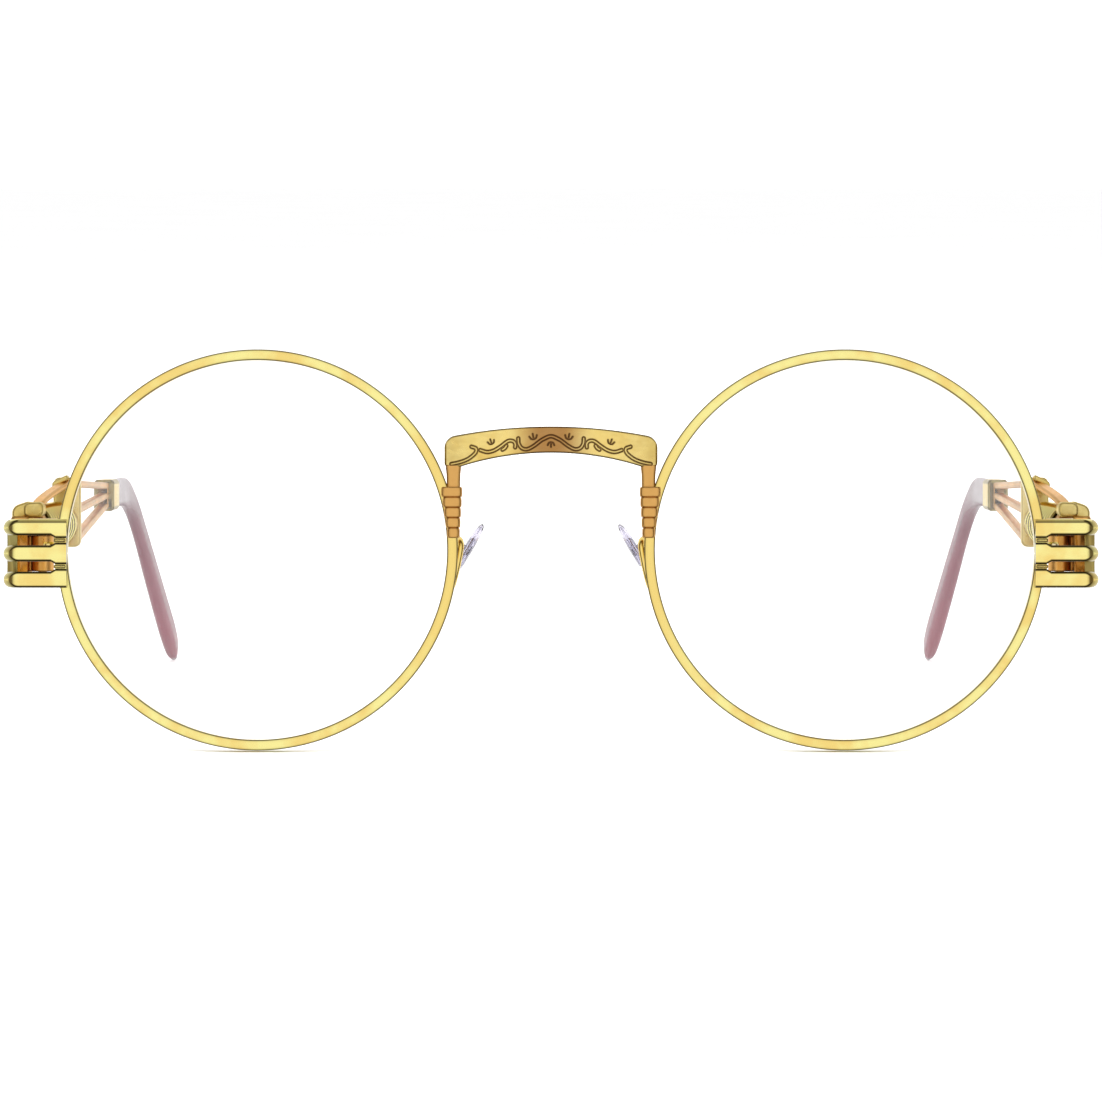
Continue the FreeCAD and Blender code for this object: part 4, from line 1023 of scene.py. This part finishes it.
class EYEGLASSES_OT_end_pieces(Operator):
    """Build the end pieces: three fingers that wrap round each corner"""
    bl_idname = "eyeglasses.end_pieces"
    bl_label = "End pieces"

    def execute(self, context):
        sizes = context.scene.eyeglasses_front
        tall, pitch, mid = sizes.finger_tall / MM, sizes.finger_pitch / MM, sizes.finger_mid / MM
        front, outer, bend = sizes.strap_front / MM, sizes.strap_side / MM, sizes.strap_bend / MM
        turns = [math.pi / 2 * step / 16 for step in range(17)]
        plan = [(x, front) for x in (62.8, 63.0, 63.6, 64.2, 64.35, 64.5, 64.65, 64.85, 65.6, 66.6,
                                     67.6, 68.4)]
        plan += [(outer - bend + bend * math.sin(t), front + bend - bend * math.cos(t))
                 for t in turns]
        plan += [(outer, y) for y in (1.0, 2.4, 4.4, 6.4, 8.6)]
        for label, side in SIDES.items():
            stock = Stock()
            for number in (-1, 0, 1):
                middle = mid + pitch * number

                def section(index, number=number):
                    x, y = plan[index]
                    flare = 0.37 * max(0.0, min(1.0, (64.85 - x) / 0.65)) if y < 0 else 0.0
                    above = flare if number < 1 else 0.0
                    below = flare if number > -1 else 0.0
                    turn = max(0.0, min(1.0, (x - 69.0) / 1.5))
                    turn = turn * turn * (3 - 2 * turn)
                    soft, deep = 0.26 + 0.77 * turn, 0.22 + 0.68 * turn
                    span = tall + above + below
                    roll = 0.2 if number == 1 else 0.0
                    shape = rounded(1.3, span, [(deep, soft + roll), (0.16, 0.16), (0.16, 0.16),
                                                (deep, soft)], crown=0.07)
                    # The rolled top edge of the upper finger is left without painted edge shade, so it
                    # stays bright.
                    shape = [(a, b, 0.0 if roll and a > 0 and b > span / 2 - 0.19 else wear)
                             for a, b, wear in shape]
                    fade = 1 - 0.6 * turn
                    return [(side * a, b + (above - below) / 2, wear * (fade if a > 0 else 0.7))
                            for a, b, wear in shape]

                path = [Vector((side * x, y, middle)) for x, y in plan]
                stock.skin(follow(path, section))
            put = lambda a, b, h: Vector((side * h, front + 0.1 + a, mid + b))
            block(stock, put, 0.95, 2 * pitch + tall - 0.1, 62.85, 64.3, 0.1, wear=0.3)
            # The rear web inside the slots carries strong painted shade.
            put = lambda a, b, h: Vector((side * (outer + a), h, mid + b))
            block(stock, put, 1.36, 2 * pitch + tall + 0.02, 5.2, 9.45, 0.3, 0.12, wear=0.9)
            for height in (mid - pitch / 2, mid + pitch / 2):
                put = lambda a, b, h, z=height: Vector((side * h, front - 0.35 + a, z + b))
                block(stock, put, 0.5, 0.5, 62.9, 64.45, 0.24, 0.2, wear=0.4)
            place_piece(f"{label}_slotted_end", stock.mesh("end"), "polished_gold", "front",
                        "polished_gold", f"{label}_end_piece")
        return {"FINISHED"}


class EYEGLASSES_OT_rim_locks(Operator):
    """Build the two blocks that close each rim and their screw"""
    bl_idname = "eyeglasses.rim_locks"
    bl_label = "Rim locks"

    def execute(self, context):
        tree = screw_tree()
        for label, side in SIDES.items():
            for half in ("upper", "lower"):
                node = f"{label}_rim_lock_{half}"
                # Painted shade: the lock blocks take the browner recess-shade gold.
                place_piece(f"{label}_lock_block_{half}", refined(node, 0.12), "inner_gold",
                            "front", "polished_gold", node)
            screw = baked(tree, head_radius=0.75, head_height=0.45, shank_radius=0.44,
                          shank_length=2.05, slot_width=0.24, finish=finish_of("screw_steel"))
            place = UPRIGHT @ Matrix.Translation((side * 65.3, 0.425, 0.6))
            place_piece(f"{label}_lock_screw", screw, "screw_steel", "front", "screw_steel",
                        f"{label}_rim_screw", place=place)
        return {"FINISHED"}


class EYEGLASSES_OT_front_hinges(Operator):
    """Build the hinge halves on the front and the hinge screws"""
    bl_idname = "eyeglasses.front_hinges"
    bl_label = "Front hinges"

    def execute(self, context):
        tree = screw_tree()
        x, y, top = Vector(context.scene.eyeglasses_front.hinge_pin) / MM
        for label, side in SIDES.items():
            # Painted shade: the front hinge halves take the browner recess-shade gold.
            place_piece(f"{label}_hinge_front_half", refined(f"{label}_front_hinge", 0.1),
                        "inner_gold", "front", "polished_gold", f"{label}_front_hinge")
            screw = baked(tree, head_radius=1.2, head_height=0.45, shank_radius=0.6,
                          shank_length=7.92, slot_width=0.3, finish=finish_of("screw_steel"))
            place_piece(f"{label}_hinge_pin", screw, "screw_steel", "front", "screw_steel",
                        f"{label}_hinge_screw", place=UPRIGHT @ Matrix.Translation((side * x, y, top)))
        return {"FINISHED"}


def coil_axis(side):
    """The two ends of a coil spring's axis."""
    sizes = bpy.context.scene.eyeglasses_temple
    return tuple(Vector((side * x, y, z)) / MM for x, y, z in (sizes.coil_front, sizes.coil_back))


class EYEGLASSES_OT_temple_hinges(Operator):
    """Build the temple blocks with their barrels and rounded caps"""
    bl_idname = "eyeglasses.temple_hinges"
    bl_label = "Temple hinges"

    def barrel(self, half, side, low, high):
        """A bored barrel round the hinge pin, and the arm that ties it to the block."""
        x, y, _ = Vector(bpy.context.scene.eyeglasses_front.hinge_pin) / MM
        bore, outer, rim, land = 0.64, 1.5, 0.1, 0.16
        profile = ((bore, low, 0.6), (outer - rim, low, 0.6), (outer, low + rim, 0.5),
                   (outer, low + land, 0.0), (outer, high - land, 0.0), (outer, high - rim, 0.5),
                   (outer - rim, high, 0.6), (bore, high, 0.6))
        rings = []
        for step in range(48):
            spin = 2 * math.pi * step / 48
            rings.append([(Vector((side * (x + reach * math.cos(spin)), y + reach * math.sin(spin),
                                   height)), painted_shade) for reach, height, painted_shade in profile])
        half.skin(rings, closed=True)
        put = lambda a, b, h: Vector((side * h, y + 0.8 + a, (low + high) / 2 + b))
        block(half, put, 1.4, high - low - 0.02, x + 0.9, x + 2.2, 0.15, wear=0.5)

    def execute(self, context):
        seat_radius = context.scene.eyeglasses_temple.seat_radius / MM
        seat_deep = 1.3
        block_x, block_y, block_wide, block_deep = 69.925, 11.4, 2.55, 3.6
        block_low, block_high = -4.41, 4.45
        cap_wide, cap_tall, cap_back = 2.7, 2.1, 13.15
        for label, side in SIDES.items():
            half = Stock()
            put = lambda a, b, h: Vector((side * (block_x + a), block_y + b, h))
            block(half, put, block_wide, block_deep, block_low, block_high, 0.55, 0.3, wear=0.35)
            for low, high in ((0.39, 1.91), (-2.81, -1.29)):
                self.barrel(half, side, low, high)
            front, back = coil_axis(side)
            along = (back - front).normalized()
            block(half, bar_between(front - along * seat_deep, front), 2 * seat_radius,
                  2 * seat_radius, 0.0, seat_deep, seat_radius - 0.1, 0.2, wear=0.3)
            place_piece(f"{label}_hinge_temple_half", half.mesh("half"), "satin_gold",
                        f"{label}_temple", "satin_gold", f"{label}_temple_hinge")
            caps = Stock()
            for x, cap_front, z, fall in ((68.2, 9.65, 5.3, 0.05), (69.75, 9.9, 5.15, 0.34)):
                put = lambda a, b, h: Vector((side * (x + a), h, z + b - fall * a))
                block(caps, put, cap_wide, cap_tall, cap_front, cap_back, 0.8, 0.45, wear=0.3)
            place_piece(f"{label}_hinge_caps", caps.mesh("caps"), "soft_gold", f"{label}_temple",
                        "satin_gold", f"{label}_temple_hinge")
        return {"FINISHED"}


class EYEGLASSES_OT_springs(Operator):
    """Build the coil, rod, strut and plate of each temple; the plate has a hood over a recess"""
    bl_idname = "eyeglasses.springs"
    bl_label = "Temple springs"

    def execute(self, context):
        sizes = context.scene.eyeglasses_temple
        tree = coil_tree()
        wire, seat_radius = sizes.coil_wire / MM, sizes.seat_radius / MM
        rod_wide, strut_wide, strut_thick, seat_deep = 1.7, 1.6, 0.75, 1.7
        for label, side in SIDES.items():
            body = f"{label}_temple"
            front, back = coil_axis(side)
            along = (back - front).normalized()
            coil = baked(tree, radius=sizes.coil_radius / MM, wire=wire, turns=sizes.coil_turns,
                         length=(back - front).length - 2 * wire, finish=finish_of("polished_gold"))
            # Painted shade on the coil: dark on the wire's flanks and inner side, where the turns shade
            # each other.
            wear = []
            for vertex in coil.vertices:
                out = (math.hypot(vertex.co.x, vertex.co.y) - sizes.coil_radius / MM) / wire
                wear.append(max(0.0, min(1.0, 1.9 - 2.0 * out) if out > 0 else max(0.3, 1 + out)))
            coil.attributes.new("edge", "FLOAT", "POINT").data.foreach_set("value", wear)
            turn = along.to_track_quat("Z", "Y").to_matrix().to_4x4()
            place = Matrix.Translation(front + along * wire) @ turn
            place_piece(f"{label}_wound_coil", coil, "polished_gold", body, "polished_gold",
                        f"{label}_coil_spring", place=UPRIGHT @ place)
            rod = Stock()
            block(rod, bar_between(front, back), rod_wide, rod_wide, 0.0, (back - front).length,
                  0.8, 0.2, wear=0.0)
            place_piece(f"{label}_guide_rod", rod.mesh("rod"), "polished_gold", body,
                        "polished_gold", f"{label}_spring_rod")
            strut = Stock()
            line = smooth_line([(side * 68.0, 12.4, 5.9), (side * 67.4, 15.4, 6.85),
                                (side * 66.4, 19.8, 7.95), (side * 65.3, 24.0, 8.9),
                                (side * 65.1, 24.9, 9.1)], 6)
            path = [Vector(point) for point in line]
            last = len(path) - 1

            def section(index):
                ends = min(index, last - index)
                inset = (0.25, 0.08, 0.0)[min(ends, 2)]
                shape = rounded(strut_wide - 2 * inset, strut_thick - inset, 0.24)
                return [(a, b, 0.3 * wear) for a, b, wear in shape]

            strut.skin(follow(path, section))
            place_piece(f"{label}_flat_strut", strut.mesh("strut"), "satin_gold", body, "satin_gold",
                        f"{label}_spring_strut")
            plate = Stock()
            # The third block, under the hood, carries full painted edge shade for the shade beneath the
            # hood.
            for x, z, tilt, wide, tall, near, far, corner, round_end, wear in (
                    (65.15, 5.1, 0.0, 3.7, 9.4, 24.6, 26.2, 0.9, 0.3, 0.25),
                    (65.95, 9.25, 0.5, 2.1, 0.8, 22.8, 25.4, 0.3, 0.25, 0.3),
                    (66.0, 8.5, 0.5, 1.7, 0.8, 23.4, 25.4, 0.1, 0.0, 1.0)):
                put = lambda a, b, h: Vector((side * (x + a), h, z + b - tilt * a))
                block(plate, put, wide, tall, near, far, corner, round_end, wear)
            block(plate, bar_between(back, back + along), 2 * seat_radius, 2 * seat_radius, 0.0,
                  seat_deep, seat_radius - 0.1, 0.2, wear=0.3)
            place_piece(f"{label}_plate_block", plate.mesh("plate"), "soft_gold", body,
                        "satin_gold", f"{label}_spring_plate")
        return {"FINISHED"}


def temple_point(side, along, outward, height):
    """A point of a temple: length back from its plate, outward from its middle, height."""
    sizes = bpy.context.scene.eyeglasses_temple
    lean = sizes.lean
    start = Vector((side * sizes.plate_back[0] / MM, sizes.plate_back[1] / MM, height))
    back = Vector((-side * math.sin(lean), math.cos(lean), 0))
    out = Vector((side * math.cos(lean), math.sin(lean), 0))
    return start + back * along + out * outward


class EYEGLASSES_OT_forks(Operator):
    """Build the three-tined forks and the ferrules"""
    bl_idname = "eyeglasses.forks"
    bl_label = "Forks and ferrules"

    def execute(self, context):
        sizes = context.scene.eyeglasses_temple
        full, thick = sizes.fork_length / MM, sizes.fork_thick / MM
        wide, tall = sizes.ferrule_wide / MM, sizes.ferrule_tall / MM
        ferrule_end, tang_height = sizes.ferrule_end / MM, sizes.tang_height / MM
        rise, steps, overlap = 0.03, 24, 0.2
        for label, side in SIDES.items():
            body = f"{label}_temple"
            fork = Stock()
            for start, step in ((8.9, 1), (5.4, 0), (1.7, -1)):
                end = tang_height + step * sizes.tine_gap / MM
                rings = []
                for part in range(steps + 1):
                    back = -overlap + (full + 3 * overlap) * part / steps
                    height = start + (end - start) * back / full
                    shape = rounded(thick, sizes.tine_tall / MM, 0.3)
                    rings.append([(temple_point(side, back, a, height + b), 0.2 * wear)
                                  for a, b, wear in shape])
                fork.skin(rings)
            put = lambda a, b, h: temple_point(side, h, a, tang_height + rise * (h - full) + b)
            block(fork, put, thick - 0.1, 3.5, full - 2.0, full + 0.6, 0.3)
            block(fork, put, 0.8, 2.2, full - 0.2, 59.0, 0.2)
            place_piece(f"{label}_three_tines", fork.mesh("fork"), "satin_gold", body, "satin_gold",
                        f"{label}_temple_fork")
            ferrule = Stock()
            block(ferrule, put, wide - 0.1, tall - 0.1, full, ferrule_end, 0.6, 0.22, wear=0.6)
            block(ferrule, put, wide, tall, full, full + 1.0, 0.6, 0.25, wear=0.8)
            place_piece(f"{label}_collar", ferrule.mesh("ferrule"), "soft_gold", body,
                        "polished_gold", f"{label}_ferrule")
        return {"FINISHED"}


class EYEGLASSES_OT_tips(Operator):
    """Build the acetate tips that hook behind the ears"""
    bl_idname = "eyeglasses.tips"
    bl_label = "Temple tips"

    # back from the plate, height, lean inwards, slope in degrees, height and width of the section
    stations = [
        (45.0, 8.0, 0.0, 1.8, 4.0, 2.3), (54.0, 8.3, 0.0, 1.8, 4.1, 2.2),
        (62.0, 8.52, 0.0, 0.0, 4.2, 2.1), (66.0, 8.35, 0.15, -8.0, 4.3, 2.0),
        (70.0, 7.15, 0.45, -24.0, 4.3, 1.9), (73.0, 5.4, 0.85, -35.0, 4.3, 1.9),
        (77.0, 2.2, 1.45, -41.0, 4.4, 1.9), (83.0, -3.2, 2.4, -42.5, 4.7, 2.1),
        (89.0, -8.7, 3.4, -42.5, 5.1, 2.2), (93.0, -12.4, 4.1, -42.5, 5.1, 2.2),
        (95.5, -14.7, 4.5, -42.5, 4.2, 1.9), (96.8, -15.9, 4.7, -42.5, 2.4, 1.1)]

    def execute(self, context):
        line = smooth_line(self.stations, 7)
        first, last = self.stations[0][0], 97.0
        for label, side in SIDES.items():
            rings = []
            for back, height, lean, slope, tall, wide in line:
                angle = math.radians(slope)
                shape = rounded(wide, tall, [(0.46 * wide, 0.36 * tall)] * 4, 7)
                rings.append([(temple_point(side, back - math.sin(angle) * b, a - lean,
                                            height + math.cos(angle) * b),
                               0.0, (back - first) / (last - first)) for a, b, _ in shape])
            tip = Stock()
            tip.skin(rings)
            place_piece(f"{label}_acetate_tip", tip.mesh("tip"), "rose_acetate", f"{label}_temple",
                        "rose_acetate", f"{label}_temple_tip", sharp=60)
        return {"FINISHED"}


class EYEGLASSES_OT_pads(Operator):
    """Build the clear nose pads, their inserts, screws and arms"""
    bl_idname = "eyeglasses.pads"
    bl_label = "Nose pads"

    def cushion(self, place, side):
        """Rings of the drop-shaped pad, which is wider below than above."""
        half_thick, half_wide, half_tall, taper = 0.62, 3.0, 4.25, 0.14
        from_pin, steps, count = 1.5, 24, 48
        rings = []
        for step in range(steps + 1):
            turn = math.pi * step / steps
            reach = max(math.sin(turn), 0.02) ** 0.55
            ring = []
            for spin in range(count):
                angle = 2 * math.pi * spin / count
                drop = math.sin(angle)
                wide = half_wide * (1 - taper * drop)
                ring.append((place @ Vector((-side * from_pin + half_thick * math.cos(turn),
                                             wide * reach * math.cos(angle),
                                             half_tall * reach * drop)), 0.0))
            rings.append(ring)
        return rings

    def execute(self, context):
        tree = screw_tree()
        x, y, z = Vector(context.scene.eyeglasses_front.pad_place) / MM
        splay, frontal = math.radians(31), math.radians(12)
        wire, outer, cheek = 0.45, 0.93, 0.4
        for label, side in SIDES.items():
            place = (Matrix.Translation((side * x, y, z))
                     @ Matrix.Rotation(-side * splay, 4, "Y") @ Matrix.Rotation(-frontal, 4, "X"))
            pad = Stock()
            pad.skin(self.cushion(place, side))
            body = f"{label}_pad"
            place_piece(f"{label}_soft_pad", pad.mesh("pad"), "clear_silicone", body,
                        "clear_silicone", f"{label}_nose_pad", sharp=60)
            place_piece(f"{label}_pad_insert", refined(f"{label}_pad_mount", 0.06), "insert_steel",
                        body, "polished_gold", f"{label}_pad_mount")
            arm = Stock()
            route = [(side * 12.95, 1.15, -4.9), (side * 12.6, 1.2, -3.7), (side * 12.2, 1.25, -2.0),
                     (side * 11.8, 1.35, 0.2), (side * 11.85, 1.9, 1.15), (side * 12.3, 3.2, 1.45),
                     tuple(place @ Vector((side * 0.95, -outer + 0.2, 0)))]
            path = [Vector(point) for point in smooth_line(route, 8)]
            arm.skin(follow(path, lambda index: circle(wire - 0.12 * (index == 0)),
                            up=Vector((0.3 * side, 0.9, 0.1)).normalized()))
            for low in (-outer, outer - cheek):
                put = lambda a, b, h: place @ Vector((side * (0.15 + a), h, b))
                block(arm, put, 1.4, 1.5, low, low + cheek, 0.65, 0.1, wear=0.4)
            put = lambda a, b, h: place @ Vector((side * (0.95 + a), h, b))
            block(arm, put, 0.35, 1.0, -outer, outer, 0.15, 0.1, wear=0.4)
            place_piece(f"{label}_pad_wire", arm.mesh("arm"), "polished_gold", "front",
                        "polished_gold", f"{label}_pad_arm")
            screw = baked(tree, head_radius=0.6, head_height=0.28, shank_radius=0.35,
                          shank_length=2 * outer, slot_width=0.16, finish=finish_of("screw_steel"))
            head = place @ Matrix.Translation((0, outer, 0)) @ Matrix.Rotation(-math.pi / 2, 4, "X")
            place_piece(f"{label}_pad_pin", screw, "screw_steel", "front", "screw_steel",
                        f"{label}_pad_screw", place=UPRIGHT @ head)
        return {"FINISHED"}


class EYEGLASSES_PT_panel(Panel):
    """Lists the steps that build the eyeglasses frame"""
    bl_idname = "EYEGLASSES_PT_panel"
    bl_label = "Eyeglasses"
    bl_space_type = "VIEW_3D"
    bl_region_type = "UI"
    bl_category = "Eyeglasses"

    def draw(self, context):
        layout = self.layout
        for group in ("eyeglasses_colours", "eyeglasses_front", "eyeglasses_temple",
                      "eyeglasses_studio"):
            settings = getattr(context.scene, group)
            box = layout.box()
            for key in settings.bl_rna.properties.keys():
                if key not in {"rna_type", "name"}:
                    box.prop(settings, key)
        for step in STEPS:
            layout.operator(step.bl_idname)


STEPS = (EYEGLASSES_OT_studio, EYEGLASSES_OT_rims, EYEGLASSES_OT_lenses, EYEGLASSES_OT_bridge,
         EYEGLASSES_OT_bridge_legs, EYEGLASSES_OT_end_pieces, EYEGLASSES_OT_rim_locks,
         EYEGLASSES_OT_front_hinges, EYEGLASSES_OT_temple_hinges, EYEGLASSES_OT_springs,
         EYEGLASSES_OT_forks, EYEGLASSES_OT_tips, EYEGLASSES_OT_pads)
GROUPS = {"eyeglasses_colours": EyeglassesColours, "eyeglasses_front": EyeglassesFront,
          "eyeglasses_temple": EyeglassesTemple, "eyeglasses_studio": EyeglassesStudio}


def register():
    for group, settings in GROUPS.items():
        bpy.utils.register_class(settings)
        setattr(bpy.types.Scene, group, PointerProperty(type=settings))
    for step in STEPS + (EYEGLASSES_PT_panel,):
        bpy.utils.register_class(step)


def unregister():
    for step in reversed(STEPS + (EYEGLASSES_PT_panel,)):
        bpy.utils.unregister_class(step)
    for group, settings in GROUPS.items():
        delattr(bpy.types.Scene, group)
        bpy.utils.unregister_class(settings)


def main():
    register()
    for step in STEPS:
        getattr(bpy.ops.eyeglasses, step.bl_idname.split(".")[1])()


if __name__ == "__main__":
    main()
